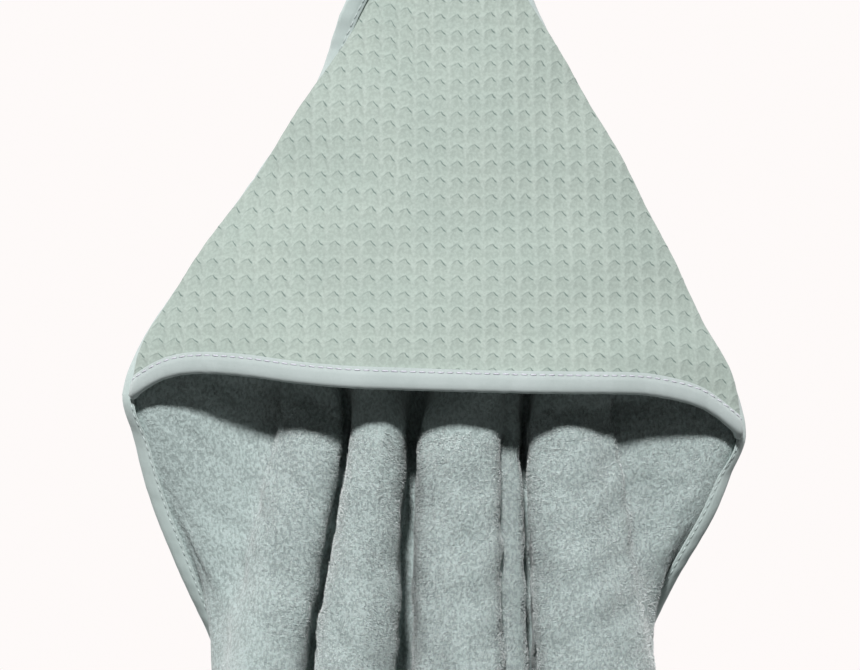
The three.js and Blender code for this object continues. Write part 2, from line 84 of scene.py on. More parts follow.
# lines down the towel: plan place at the hood opening, the chest, the waist and the hem
foldRows = [
    ("left flap", (-103, 6), (-98.5, 19), (-103, 46), (-148, 78)),
    ("left tuck", (-74, 7), (-92, 11), (-101, 24), (-116, 34)),
    ("fold 2 side", (-69.5, 2.5), (-88, 0), (-113, -2), (-156, -6)),
    ("fold 2 front", (-60, -1.5), (-80, -8), (-95, -18), (-122, -38)),
    ("fold 2 right", (-47.6, 0), (-63, -4.5), (-74, -11), (-95, -20)),
    ("gully 2 3", (-46.8, 12), (-61.8, 20), (-69.6, 28), (-87.6, 46)),
    ("gully 3 2", (-42.2, 12), (-56.6, 21), (-64, 29), (-80.4, 47)),
    ("fold 3 left", (-41, -9.5), (-54.8, -14), (-60.5, -19), (-73, -27)),
    ("fold 3 front", (-31.5, -15), (-40.8, -21.5), (-45, -30), (-54, -42)),
    ("fold 3 right", (-22.8, -9), (-26.8, -13.5), (-29.6, -18), (-37, -26)),
    ("gully 3 4", (-21.8, 12), (-25.2, 21), (-27, 30), (-31, 49)),
    ("gully 4 3", (-15.4, 13), (-17.2, 22), (-18, 31), (-21, 50)),
    ("fold 4 left", (-13.8, -10), (-15, -15), (-14.4, -20), (-13, -28)),
    ("fold 4 front", (0, -16.5), (0.5, -23), (3, -31), (10, -42)),
    ("fold 4 right", (14.2, -11.5), (15.8, -17), (21.5, -21), (34, -27)),
    ("strip crease", (17, -2.5), (19, -5), (26, -5), (41, -2)),
    ("strip", (23.8, -2.2), (26, -4.4), (34.5, -2), (53.5, 6)),
    ("gully 4 5", (25, 11), (27.6, 19), (38.5, 29), (61, 48)),
    ("gully 5 4", (29, 12), (32.2, 20), (44, 30), (66, 49)),
    ("fold 5 left", (30.2, -5.5), (34.4, -11), (48, -17), (75, -24)),
    ("fold 5 front", (46, -10), (55, -17), (70, -27), (101, -40)),
    ("fold 5 side", (61.5, -2), (72.5, -4.5), (99, -6), (138, -10)),
    ("right tuck", (65.5, 3.5), (77.5, 8), (88, 22), (104, 32)),
    ("right flap", (88, 4), (78.5, 15), (87, 42), (132, 74)),
]

# the towel's cut edges below the hood: reach, plan place, angle that the flap faces
leftRimRows = [
    (288, -123.6, 17, 18), (325, -111.2, 26, 12), (366, -97, 44, 56),
    (430, -90, 66, 100), (540, -88, 90, 127), (760, -86, 117, 146),
]
rightRimRows = [
    (272, 106, 11, 32), (316, 86.6, 24, 40), (345, 76.5, 37, 62),
    (430, 74, 66, 106), (540, 78, 90, 130), (760, 84, 115, 144),
]


def ease(low, high, value):
    # 0 up to low, 1 from high on and smooth between; a low above the high turns it round
    share = np.clip((np.asarray(value, float) - low) / (high - low), 0, 1)
    return share * share * (3 - 2 * share)


def blur(values, width):
    # a moving bell average that keeps the ends where they are
    steps = np.arange(-3 * width, 3 * width + 1)
    bell = np.exp(-0.5 * (steps / width) ** 2)
    bell /= bell.sum()
    pad = 3 * width
    first = 2 * values[:1] - values[pad:0:-1]
    last = 2 * values[-1:] - values[-2:-pad - 2:-1]
    padded = np.concatenate([first, values, last])
    if values.ndim == 1:
        return np.convolve(padded, bell, "valid")
    return np.stack([np.convolve(padded[:, k], bell, "valid") for k in range(values.shape[1])], 1)


def lengthAlong(points):
    return np.concatenate([[0], np.cumsum(np.linalg.norm(np.diff(points, axis=0), axis=1))])


def unit(vectors):
    return vectors / np.maximum(np.linalg.norm(vectors, axis=-1, keepdims=True), 1e-9)


def seamCurve(side):
    # the line along which panel and towel are sewn together, from the tip down one side
    end = cape["leftCorner"] if side < 0 else cape["rightCorner"]
    drop = np.linspace(0, end, cape["seamSteps"])
    rows = np.array(seamRows, float)
    column = 1 if side < 0 else 2
    x = blur(np.interp(drop, rows[:, 0], rows[:, column]), cape["seamBlur"])
    turn = np.radians(blur(np.interp(drop, rows[:, 0], rows[:, column + 2]), cape["turnBlur"]))
    back = np.sin(turn)
    root = np.stack([x - side * cape["seamInset"] * back, cape["seamBack"] * back,
                     -cape["tipDrop"] - drop], 1)
    lengths = lengthAlong(root)
    return lengths / lengths[-1] * cape["hoodLeg"], root, turn, x


seamCurves = {side: seamCurve(side) for side in (-1, 1)}


def seamAt(side, reach):
    # where the seam is at this reach down the cloth, and its directions out and through
    reaches, root, turn, x = seamCurves[side]
    reach = np.minimum(reach, cape["hoodLeg"])
    place = np.stack([np.interp(reach, reaches, root[:, k]) for k in range(3)], -1)
    angle = np.interp(reach, reaches, turn)
    out = np.stack([side * np.cos(angle), np.sin(angle), 0 * angle], -1)
    through = np.stack([-side * np.sin(angle), np.cos(angle), 0 * angle], -1)
    return {"root": place, "turn": angle, "out": out, "through": through,
            "x": np.interp(reach, reaches, x), "edge": place + out * cape["flange"]}


def alongCloth(stations, values, reach):
    # a smooth curve through the values, straight on past the last station
    at = np.array(stations, float)
    height = np.array(values, float)
    chord = np.diff(height) / np.diff(at)
    slope = np.zeros(len(at))
    slope[0], slope[-1] = chord[0], chord[-1] * cape["endSlope"]
    for k in range(1, len(at) - 1):
        before, after = at[k] - at[k - 1], at[k + 1] - at[k]
        slope[k] = (chord[k - 1] * after + chord[k] * before) / (before + after)
    span = np.clip(np.searchsorted(at, reach, side="left") - 1, 0, len(at) - 2)
    length = at[span + 1] - at[span]
    t = (reach - at[span]) / length
    curve = (height[span] * (2 * t**3 - 3 * t**2 + 1) + height[span + 1] * (3 * t**2 - 2 * t**3)
             + length * (slope[span] * (t**3 - 2 * t**2 + t) + slope[span + 1] * (t**3 - t**2)))
    return np.where(reach >= at[-1], height[-1] + slope[-1] * (reach - at[-1]), curve)


def rimPlan(side, inset, reach):
    # plan place of the towel's cut edge below the hood, or of the line one flange inside it
    corner = seamAt(side, np.array([cape["hoodLeg"]]))
    start = (corner["edge"] + corner["through"] * cape["towelShift"])[0]
    rim = leftRimRows if side < 0 else rightRimRows
    stations = [cape["hoodLeg"]] + [row[0] for row in rim]
    x = alongCloth(stations, [start[0]] + [row[1] for row in rim], reach)
    y = alongCloth(stations, [start[1]] + [row[2] for row in rim], reach)
    facing = [math.degrees(corner["turn"][0])] + [row[3] for row in rim]
    angle = np.radians(alongCloth(stations, facing, reach))
    step = cape["flange"] if inset else 0
    return x - side * step * np.cos(angle), y - step * np.sin(angle)


def heightAlong(x, y, z, first):
    # lets each line hang, so that every step along it is as long as the cloth's
    step = cape["lineStep"]
    for k in range(first, len(x)):
        sideways = math.hypot(x[k] - x[k - 1], y[k] - y[k - 1])
        z[k] = z[k - 1] - math.sqrt(max(step**2 - sideways**2, (cape["leastFall"] * step) ** 2))
    return np.stack([x, y, z], 1)


def rimLine(side, inset, reach):
    seam = seamAt(side, reach)
    top = (seam["root"] if inset else seam["edge"]) + seam["through"] * cape["towelShift"]
    inHood = reach <= cape["hoodLeg"]
    x, y = rimPlan(side, inset, np.maximum(reach, cape["hoodLeg"]))
    x, y = np.where(inHood, top[:, 0], x), np.where(inHood, top[:, 1], y)
    return heightAlong(x, y, top[:, 2].copy(), int(inHood.sum()))


def foldLine(places, even, reach):
    # even is the line's share of the way from seam to seam in the smooth cloth at the top
    left, right = seamAt(-1, reach), seamAt(1, reach)
    leftX, rightX = (seam["root"][:, 0] + seam["through"][:, 0] * cape["towelShift"]
                     for seam in (left, right))
    leftY, rightY = left["root"][:, 1], right["root"][:, 1]
    flatX = leftX + (rightX - leftX) * even
    flatY = leftY + (rightY - leftY) * even + cape["towelShift"] + cape["layerGap"]
    share = reach / cape["openReach"]
    settled = ease(cape["foldStart"], cape["openReach"], reach)
    pleated = ease(cape["pleatStart"], cape["openReach"], reach)
    insideX = flatX * (1 - pleated) + places[0][0] * share * pleated
    insideY = flatY * (1 - settled) + places[0][1] * share * settled
    stations = [cape[name] for name in ("openReach", "chestReach", "waistReach", "hemReach")]
    below = reach >= cape["openReach"]
    x = np.where(below, alongCloth(stations, [place[0] for place in places], reach), insideX)
    y = np.where(below, alongCloth(stations, [place[1] for place in places], reach), insideY)
    return heightAlong(x, y, np.full(len(reach), -float(cape["tipDrop"])), 1)


def clothLines():
    # every line down the towel, left rim to right rim, and their distances across at the chest
    reach = np.arange(0, cape["lineEnd"], cape["lineStep"], dtype=float)
    rims = ((-1, False), (-1, True), (1, True), (1, False))
    chestAt = np.array([float(cape["chestReach"])])
    rimChest = [[float(v[0]) for v in rimPlan(side, inset, chestAt)] for side, inset in rims]
    foldChest = [list(row[2]) for row in foldRows]
    knots = lengthAlong(np.array(rimChest[:2] + foldChest + rimChest[2:]))
    made = [rimLine(side, inset, reach) for side, inset in rims]
    folds = []
    for k, (_, *places) in enumerate(foldRows, start=2):
        even = (knots[k] - knots[1]) / (knots[-2] - knots[1])
        folds.append(foldLine(places, even, reach))
    return np.stack([blur(line, 2) for line in made[:2] + folds + made[2:]]), knots


def lineWeights(knots, span, share):
    # how much each line counts at a place between two of them, for a smooth curve across
    weights = np.zeros(len(knots))
    length = knots[span + 1] - knots[span]
    weights[span] += 2 * share**3 - 3 * share**2 + 1
    weights[span + 1] += 3 * share**2 - 2 * share**3
    slopes = ((span, share**3 - 2 * share**2 + share), (span + 1, share**3 - share**2))
    for line, factor in slopes:
        low, high = max(0, line - 1), min(len(knots) - 1, line + 1)
        weights[high] += factor * length / (knots[high] - knots[low])
        weights[low] -= factor * length / (knots[high] - knots[low])
    return weights


def cutReach(angle):
    # from the tip to the cut edge of the square, with its corner rounded
    sine = np.sqrt(np.sin(angle) ** 2 + cape["middleSoft"] ** 2)
    square = cape["clothSide"] * math.sqrt(2) / (np.cos(angle) + sine)
    corner = 1 - ease(0, cape["cornerTurn"], math.pi / 4 - np.abs(angle))
    return square - (cape["cornerRounding"] - 1) * corner * corner


def gridNormals(grid):
    # toward the back of the cloth
    across = np.gradient(grid, axis=1)
    down = np.gradient(grid, axis=0)
    return unit(np.cross(across, down))


# the towel: the spacing of its grid, its wall, and the small waves of its cloth
towel = {
    "columnStep": 2.8, "wall": 1.8, "middleTop": 2, "sideTop": 8,
    "sideRows": (18, 56, 78), "sideStops": (8, 155, 300, 727),
    "waveHeight": 0.66, "broadWave": 34, "fineWave": 15, "fineShare": 0.6, "seed": 5,
    "edgeHeld": (6, 22), "topHeld": (60, 200),
}


def sideRows():
    stops, counts = towel["sideStops"], towel["sideRows"]
    parts = [np.linspace(stops[k], stops[k + 1], counts[k], endpoint=False) for k in range(3)]
    return np.concatenate(parts + [[float(stops[3])]])


def towelSurface():
    # the middle of the cloth: a grid of columns fanned out from the tip
    lines, knots = clothLines()
    quarter = math.pi / 4
    weights = []
    for span in range(len(knots) - 1):
        steps = max(2, round((knots[span + 1] - knots[span]) / towel["columnStep"]))
        weights += [lineWeights(knots, span, step / steps) for step in range(steps)]
    weights.append(lineWeights(knots, len(knots) - 2, 1))
    weights = np.array(weights)
    chest = weights @ lines[:, int(cape["chestReach"] / cape["lineStep"])]
    across = lengthAlong(chest)
    angle = (across / across[-1] - 0.5) * math.pi / 2
    share = (sideRows() - towel["sideTop"]) / (cutReach(quarter) - towel["sideTop"])
    share = np.minimum(share, 1)[:, None]
    top = towel["middleTop"] + (towel["sideTop"] - towel["middleTop"]) * np.abs(angle) / quarter
    reach = top + (cutReach(angle) - top) * share
    at = reach / cape["lineStep"]
    low = np.floor(at).astype(int)
    part = (at - low)[..., None]
    grid = np.zeros(reach.shape + (3,))
    for line in range(len(knots)):
        column = weights[:, line][None, :, None]
        grid += column * (lines[line][low] * (1 - part) + lines[line][low + 1] * part)
    return grid, reach


def smoothNoise(u, v, wave, seed):
    # a few crossing waves of this length, about -1 to 1
    draw = np.random.default_rng(seed)
    total = 0
    for _ in range(7):
        angle = draw.uniform(0, math.pi)
        length = wave * draw.uniform(0.6, 1.7)
        total = total + np.sin((u * math.cos(angle) + v * math.sin(angle)) * 2 * math.pi / length
                               + draw.uniform(0, 6.3))
    return total / 3.2


def linkObject(name, mesh, material):
    piece = bpy.data.objects.new(name, mesh)
    bpy.context.scene.collection.objects.link(piece)
    piece.data.materials.append(material)
    return piece


def arrayMesh(name, points, faces, uv=None, tones=None):
    # points in millimetres, faces all with the same number of corners
    mesh = bpy.data.meshes.new(name)
    corners = faces.shape[1]
    mesh.vertices.add(len(points))
    mesh.vertices.foreach_set("co", (np.asarray(points, np.float32) * mm).ravel())
    mesh.loops.add(faces.size)
    mesh.loops.foreach_set("vertex_index", faces.astype(np.int32).ravel())
    mesh.polygons.add(len(faces))
    mesh.polygons.foreach_set("loop_start", np.arange(0, faces.size, corners, dtype=np.int32))
    mesh.update(calc_edges=True)
    mesh.validate()
    mesh.shade_smooth()
    if uv is not None:
        layer = mesh.uv_layers.new(name="cloth")
        layer.data.foreach_set("uv", uv[faces.ravel()].astype(np.float32).ravel())
    if tones is not None:
        tone = mesh.attributes.new("tone", "FLOAT", "POINT")
        tone.data.foreach_set("value", tones.astype(np.float32))
    return mesh


def gridFaces(rows, columns, ring=False):
    last = columns if ring else columns - 1
    j, i = np.meshgrid(np.arange(rows - 1), np.arange(last), indexing="ij")
    here, side = j * columns + i, j * columns + (i + 1) % columns
    return np.stack([here, side, side + columns, here + columns], -1).reshape(-1, 4)


def sweepMesh(name, sections, pathStep):
    # a closed section carried along a path, with flat ends
    stations, corners = sections.shape[:2]
    faces = gridFaces(stations, corners, ring=True)
    around = np.tile(np.arange(corners) / corners, stations)
    along = np.repeat(pathStep, corners)
    mesh = arrayMesh(name, sections.reshape(-1, 3), faces, np.stack([along, around], 1))
    shell = bmesh.new()
    shell.from_mesh(mesh)
    shell.verts.ensure_lookup_table()
    shell.faces.new([shell.verts[k] for k in range(corners)])
    shell.faces.new([shell.verts[(stations - 1) * corners + k] for k in reversed(range(corners))])
    bmesh.ops.recalc_face_normals(shell, faces=shell.faces)
    shell.to_mesh(mesh)
    shell.free()
    mesh.shade_smooth()
    return mesh


def scatterMesh(name, shape, shapeFaces, places, sideways, upward, forward, tones=None):
    # one small shape set down many times, each with its own axes
    count, corners = len(places), len(shape)
    points = (places[:, None] + shape[None, :, 0:1] * sideways[:, None]
              + shape[None, :, 1:2] * upward[:, None] + shape[None, :, 2:3] * forward[:, None])
    faces = (shapeFaces[None] + (np.arange(count) * corners)[:, None, None]).reshape(-1, 3)
    return arrayMesh(name, points.reshape(-1, 3), faces, tones=tones)


def makeGroup(name, inputs, outputs):
    group = bpy.data.node_groups.new(name, "ShaderNodeTree")
    for label, kind, default in inputs:
        socket = group.interface.new_socket(name=label, in_out="INPUT", socket_type=kind)
        if default is not None:
            socket.default_value = default
    for label, kind in outputs:
        group.interface.new_socket(name=label, in_out="OUTPUT", socket_type=kind)
    return group, group.nodes.new("NodeGroupInput"), group.nodes.new("NodeGroupOutput")


def mathNode(tree, operation, first, second=None, third=None):
    node = tree.nodes.new("ShaderNodeMath")
    node.operation = operation
    for index, value in enumerate((first, second, third)):
        if value is None:
            continue
        if isinstance(value, (int, float)):
            node.inputs[index].default_value = value
        else:
            tree.links.new(value, node.inputs[index])
    return node.outputs[0]


def rangeNode(tree, value, fromLow, fromHigh, toLow=0.0, toHigh=1.0):
    node = tree.nodes.new("ShaderNodeMapRange")
    node.interpolation_type = "SMOOTHSTEP"
    tree.links.new(value, node.inputs["Value"])
    for label, number in (("From Min", fromLow), ("From Max", fromHigh),
                          ("To Min", toLow), ("To Max", toHigh)):
        node.inputs[label].default_value = number
    return node.outputs["Result"]


def timesNode(tree, first, second):
    return mathNode(tree, "MULTIPLY", first, second)


def noiseNode(tree, vector, scale, detail=2.0, roughness=0.5):
    node = tree.nodes.new("ShaderNodeTexNoise")
    tree.links.new(vector, node.inputs["Vector"])
    node.inputs["Scale"].default_value = scale
    node.inputs["Detail"].default_value = detail
    node.inputs["Roughness"].default_value = roughness
    return node.outputs["Fac"]


def mapNode(tree, vector, scale):
    # divides by the scale, so the pattern is drawn out along the axes where that is over 1
    node = tree.nodes.new("ShaderNodeMapping")
    node.vector_type = "TEXTURE"
    tree.links.new(vector, node.inputs["Vector"])
    node.inputs["Scale"].default_value = scale
    return node.outputs["Vector"]


terryLook = {
    "low": (0.28, 0.336, 0.328), "high": (0.41, 0.49, 0.478),
    "root": (0.232, 0.284, 0.276), "tip": (0.436, 0.525, 0.511),
    "roughness": 0.95, "sheen": 0.25, "bump": 0.0002, "glow": 0.001,
    "strokeStretch": (0.85, 1.0, 1.25), "strokeGrain": 760, "fineGrain": 1500, "patchGrain": 38,
    # the flap and recess numbers here paint light on the left flap and shade in the recess beside the middle
    # fold, in the upper part only
    "flapPaintedLight": 0.1, "flapEdge": (-0.086, -0.070), "paintedLightEnd": (-0.44, -0.34),
    "recessPaintedShade": 0.16, "recessLeft": (0.013, 0.017), "recessRight": (0.026, 0.030),
}


def pileGroup():
    # loops of the pile: short strokes and soft patches
    group, start, end = makeGroup(
        "pileLoops", [("Cloth", "NodeSocketVector", None)],
        [("Height", "NodeSocketFloat"), ("Shade", "NodeSocketFloat")])
    cloth = start.outputs["Cloth"]
    stretched = mapNode(group, cloth, terryLook["strokeStretch"])
    strokes = noiseNode(group, stretched, terryLook["strokeGrain"], 2.0, 0.6)
    fine = noiseNode(group, cloth, terryLook["fineGrain"], 1.0, 0.5)
    patches = noiseNode(group, cloth, terryLook["patchGrain"], 3.0, 0.6)
    crisp = rangeNode(group, strokes, 0.3, 0.7)
    group.links.new(mathNode(group, "MULTIPLY_ADD", fine, 0.35, crisp), end.inputs["Height"])
    shade = mathNode(group, "MULTIPLY_ADD", crisp, 0.6, timesNode(group, patches, 0.4))
    group.links.new(shade, end.inputs["Shade"])
    return group


# one scale of the knit in units of its pitch: a pointed top edge and a dished middle
scaleShape = {
    "pointFall": 0.4, "pointPower": 1.4, "centre": 0.45, "squash": 0.9, "dish": (0.24, 0.5),
    "notchDepth": 0.4, "notchEnd": 0.14,
}


def scaleGroup():
    # one scale per unit: dished in the middle, with a notch and a line of painted shadow along its pointed
    # top, strongest on the right arm as the light comes from the upper left
    group, start, end = makeGroup(
        "knitScales",
        [("Knit", "NodeSocketVector", None)],
        [("Height", "NodeSocketFloat"), ("Line", "NodeSocketFloat"), ("Crown", "NodeSocketFloat")])

    def less(first, second):
        return mathNode(group, "SUBTRACT", first, second)
    split = group.nodes.new("ShaderNodeSeparateXYZ")
    group.links.new(start.outputs["Knit"], split.inputs[0])
    u = less(mathNode(group, "FRACT", split.outputs["X"]), 0.5)
    away = timesNode(group, mathNode(group, "ABSOLUTE", u), 2.0)
    bow = mathNode(group, "POWER", away, scaleShape["pointPower"])
    fall = timesNode(group, bow, scaleShape["pointFall"])
    fall = mathNode(group, "MULTIPLY_ADD", rangeNode(group, u, 0.0, 0.18), 0.1, fall)  # steeper right arm
    v = mathNode(group, "FRACT", less(split.outputs["Y"], fall))
    # each point's right arm gets the deepest notch and the most painted shadow, its left arm a little
    onRight = rangeNode(group, u, -0.08, 0.0)
    rightArm = timesNode(group, rangeNode(group, u, -0.05, 0.1), rangeNode(group, u, 0.22, 0.36, 1.0, 0.0))
    leftArm = timesNode(group, less(1.0, onRight), rangeNode(group, u, -0.46, -0.28))
    strong = mathNode(group, "MULTIPLY_ADD", rightArm, 0.95, 0.05)
    strength = mathNode(group, "MULTIPLY_ADD", leftArm, 0.34, strong)
    low = timesNode(group, less(v, scaleShape["centre"]), scaleShape["squash"])
    wide = timesNode(group, u, 0.92)
    squares = mathNode(group, "ADD", timesNode(group, wide, wide), timesNode(group, low, low))
    radius = mathNode(group, "SQRT", squares)
    notch = timesNode(group, strength, rangeNode(group, v, 0.0, 0.12, 1.0, 0.0))
    height = less(rangeNode(group, radius, *scaleShape["dish"]), notch)
    near = mathNode(group, "MINIMUM", v, less(1.0, v))
    # painted shadow under the lip of the scale above, as a dark line along the pointed top
    line = timesNode(group, rangeNode(group, near, 0.015, 0.085, 1.0, 0.0), strength)
    crown = rangeNode(group, radius, 0.34, 0.52)
    for label, value in (("Height", height), ("Line", line), ("Crown", crown)):
        group.links.new(value, end.inputs[label])
    return group


def yarnGroup():
    # close rows of fine yarn with a little unevenness, for tape and thread
    group, start, end = makeGroup(
        "fineYarn",
        [("Place", "NodeSocketVector", None), ("Rows", "NodeSocketFloat", 1400.0)],
        [("Height", "NodeSocketFloat"), ("Shade", "NodeSocketFloat")])
    wave = group.nodes.new("ShaderNodeTexWave")
    wave.inputs["Distortion"].default_value = 2.2
    wave.inputs["Detail Scale"].default_value = 2.0
    group.links.new(start.outputs["Place"], wave.inputs["Vector"])
    group.links.new(start.outputs["Rows"], wave.inputs["Scale"])
    grain = noiseNode(group, start.outputs["Place"], 900, 2.0, 0.6)
    broad = noiseNode(group, start.outputs["Place"], 55, 2.0, 0.5)
    height = mathNode(group, "MULTIPLY_ADD", grain, 0.6, wave.outputs["Fac"])
    shade = mathNode(group, "MULTIPLY_ADD", broad, 0.7, timesNode(group, grain, 0.3))
    group.links.new(height, end.inputs["Height"])
    group.links.new(shade, end.inputs["Shade"])
    return group


groups = {"pile": pileGroup(), "scales": scaleGroup(), "yarn": yarnGroup()}


def newMaterial(name):
    material = bpy.data.materials.new(name)
    material.use_nodes = True
    tree = material.node_tree
    return material, tree, tree.nodes["Principled BSDF"]


def placeGroup(tree, key):
    node = tree.nodes.new("ShaderNodeGroup")
    node.node_tree = groups[key]
    return node


def mixColours(tree, share, low, high, blend="MIX"):
    node = tree.nodes.new("ShaderNodeMix")
    node.data_type = "RGBA"
    node.blend_type = blend
    for socket, value in ((node.inputs["Factor"], share), (node.inputs["A"], low), (node.inputs["B"], high)):
        if isinstance(value, tuple):
            socket.default_value = (*value, 1.0)
        elif isinstance(value, float):
            socket.default_value = value
        else:
            tree.links.new(value, socket)
    return node.outputs["Result"]


def bumpInto(tree, shader, height, distance):
    node = tree.nodes.new("ShaderNodeBump")
    node.inputs["Distance"].default_value = distance
    node.inputs["Strength"].default_value = 1.0
    tree.links.new(height, node.inputs["Height"])
    tree.links.new(node.outputs["Normal"], shader.inputs["Normal"])


def paintedLightShare(tree, coords):
    # painted light and shade high on the towel: the left flap, which the sun only grazes, is painted lighter,
    # and the recess beside the middle fold is painted darker as shade
    split = tree.nodes.new("ShaderNodeSeparateXYZ")
    tree.links.new(coords.outputs["Object"], split.inputs[0])
    across, height = split.outputs["X"], split.outputs["Z"]
    high = rangeNode(tree, height, *terryLook["paintedLightEnd"])
    flap = timesNode(tree, high, rangeNode(tree, across, *terryLook["flapEdge"], 1.0, 0.0))
    recess = timesNode(tree, rangeNode(tree, across, *terryLook["recessLeft"]),
                       rangeNode(tree, across, *terryLook["recessRight"], 1.0, 0.0))
    recess = timesNode(tree, recess, high)
    lit = mathNode(tree, "MULTIPLY_ADD", flap, terryLook["flapPaintedLight"], 1.0)
    return mathNode(tree, "MULTIPLY_ADD", recess, -terryLook["recessPaintedShade"], lit)


def terryMaterial(name, tufts):
    # the same pile as cloth, with its relief, and as tufts, which carry their own tone: a random spread, and
    # painted darker at the roots as shade deep in the pile
    material, tree, shader = newMaterial(name)
    shader.inputs["Roughness"].default_value = terryLook["roughness"]
    shader.inputs["Specular IOR Level"].default_value = 0.15
    shader.inputs["Sheen Weight"].default_value = terryLook["sheen"]
    shader.inputs["Sheen Roughness"].default_value = 0.6
    coords = tree.nodes.new("ShaderNodeTexCoord")
    pile = placeGroup(tree, "pile")
    tree.links.new(coords.outputs["Object"], pile.inputs["Cloth"])
    if tufts:
        tone = tree.nodes.new("ShaderNodeAttribute")
        tone.attribute_name = "tone"
        clump = rangeNode(tree, pile.outputs["Shade"], 0.28, 0.68, -0.2, 0.8)
        share = mathNode(tree, "MULTIPLY_ADD", tone.outputs["Fac"], 0.5, clump)
        colour = mixColours(tree, share, terryLook["root"], terryLook["tip"])
        shader.inputs["Subsurface Weight"].default_value = 1.0
        shader.inputs["Subsurface Radius"].default_value = (1, 1, 1)
        shader.inputs["Subsurface Scale"].default_value = terryLook["glow"]
    else:
        share = rangeNode(tree, pile.outputs["Shade"], 0.2, 0.75)
        colour = mixColours(tree, share, terryLook["low"], terryLook["high"])
        bumpInto(tree, shader, pile.outputs["Height"], terryLook["bump"])
    # painted light on the left flap and painted shade in the recess, multiplied into the colour
    withPaintedLight = mixColours(tree, 1.0, colour, paintedLightShare(tree, coords), "MULTIPLY")
    tree.links.new(withPaintedLight, shader.inputs["Base Color"])
    return material


# the line colour is the painted shadow under each scale's pointed lip
hoodLook = {
    "base": (0.402, 0.468, 0.424), "crown": (0.444, 0.511, 0.466), "line": (0.15, 0.21, 0.19),
    "roughness": 0.82, "sheen": 0.15, "bump": 0.00014, "lipShadowDepth": 0.84, "yarnHeight": 0.16,
    "wander": 0.22, "wanderGrain": 1.3, "yarnRows": 700, "worn": (0.365, 0.44, 0.40), "wornShare": 0.4,
    "speckleGrain": 850, "speckle": (0.935, 1.065),
}


def hoodMaterial():
    material, tree, shader = newMaterial("hoodKnit")
    shader.inputs["Roughness"].default_value = hoodLook["roughness"]
    shader.inputs["Specular IOR Level"].default_value = 0.2
    shader.inputs["Sheen Weight"].default_value = hoodLook["sheen"]
    coords = tree.nodes.new("ShaderNodeTexCoord")
    knit = placeGroup(tree, "scales")
    wander = tree.nodes.new("ShaderNodeTexNoise")
    wander.inputs["Scale"].default_value = hoodLook["wanderGrain"]
    tree.links.new(coords.outputs["UV"], wander.inputs["Vector"])
    pull = tree.nodes.new("ShaderNodeVectorMath")
    pull.operation = "MULTIPLY_ADD"
    tree.links.new(wander.outputs["Color"], pull.inputs[0])
    pull.inputs[1].default_value = (hoodLook["wander"], hoodLook["wander"], 0)
    tree.links.new(coords.outputs["UV"], pull.inputs[2])
    tree.links.new(pull.outputs[0], knit.inputs["Knit"])
    yarn = placeGroup(tree, "yarn")
    yarn.inputs["Rows"].default_value = hoodLook["yarnRows"]
    tree.links.new(coords.outputs["Object"], yarn.inputs["Place"])
    crowned = mixColours(tree, knit.outputs["Crown"], hoodLook["base"], hoodLook["crown"])
    uneven = rangeNode(tree, yarn.outputs["Shade"], 0.35, 0.7, 0.0, hoodLook["wornShare"])
    worn = mixColours(tree, uneven, crowned, hoodLook["worn"])
    grain = noiseNode(tree, coords.outputs["Object"], hoodLook["speckleGrain"], 1.0, 0.6)
    speckle = rangeNode(tree, grain, 0.36, 0.66, *hoodLook["speckle"])
    speckled = mixColours(tree, 1.0, worn, speckle, "MULTIPLY")
    # painted shadow under the lip of each scale, mixed in as a dark line
    lipShadowShare = timesNode(tree, knit.outputs["Line"], hoodLook["lipShadowDepth"])
    lipShaded = mixColours(tree, lipShadowShare, speckled, hoodLook["line"])
    tree.links.new(lipShaded, shader.inputs["Base Color"])
    yarnHeight = timesNode(tree, yarn.outputs["Height"], hoodLook["yarnHeight"])
    height = mathNode(tree, "ADD", yarnHeight, knit.outputs["Height"])
    bumpInto(tree, shader, height, hoodLook["bump"])
    return material


def tapeMaterial(name, light, shade, rows=1500.0, relief=0.00005):
    # for tape and thread: how close the rows of yarn lie, and their relief in metres
    material, tree, shader = newMaterial(name)
    shader.inputs["Roughness"].default_value = 0.7
    shader.inputs["Specular IOR Level"].default_value = 0.3
    shader.inputs["Sheen Weight"].default_value = 0.2
    coords = tree.nodes.new("ShaderNodeTexCoord")
    yarn = placeGroup(tree, "yarn")
    yarn.inputs["Rows"].default_value = rows
    tree.links.new(coords.outputs["Object"], yarn.inputs["Place"])
    share = rangeNode(tree, yarn.outputs["Shade"], 0.25, 0.8)
    tree.links.new(mixColours(tree, share, light, shade), shader.inputs["Base Color"])
    bumpInto(tree, shader, yarn.outputs["Height"], relief)
    return material


materials = {
    "terry": terryMaterial("terryCloth", False),
    "tufts": terryMaterial("terryTufts", True),
    "hood": hoodMaterial(),
    "openingTape": tapeMaterial("openingTape", (0.53, 0.595, 0.587), (0.466, 0.535, 0.52)),
    "edgeTape": tapeMaterial("edgeTape", (0.56, 0.65, 0.63), (0.49, 0.58, 0.56)),
    "thread": tapeMaterial("sewingThread", (0.72, 0.71, 0.78), (0.62, 0.61, 0.70), 2200.0, 0.00002),
    "edgeThread": tapeMaterial("edgeThread", (0.56, 0.63, 0.62), (0.48, 0.56, 0.55), 2200.0, 0.00002),
    "loop": tapeMaterial("loopTape", (0.47, 0.55, 0.53), (0.40, 0.48, 0.46), 1100.0),
}
print("materials made")


def rowLengths(grid):
    # along each row, from its middle
    steps = np.linalg.norm(np.diff(grid, axis=1), axis=2)
    lengths = np.concatenate([np.zeros((len(grid), 1)), np.cumsum(steps, axis=1)], axis=1)
    return lengths - lengths[:, -1:] / 2


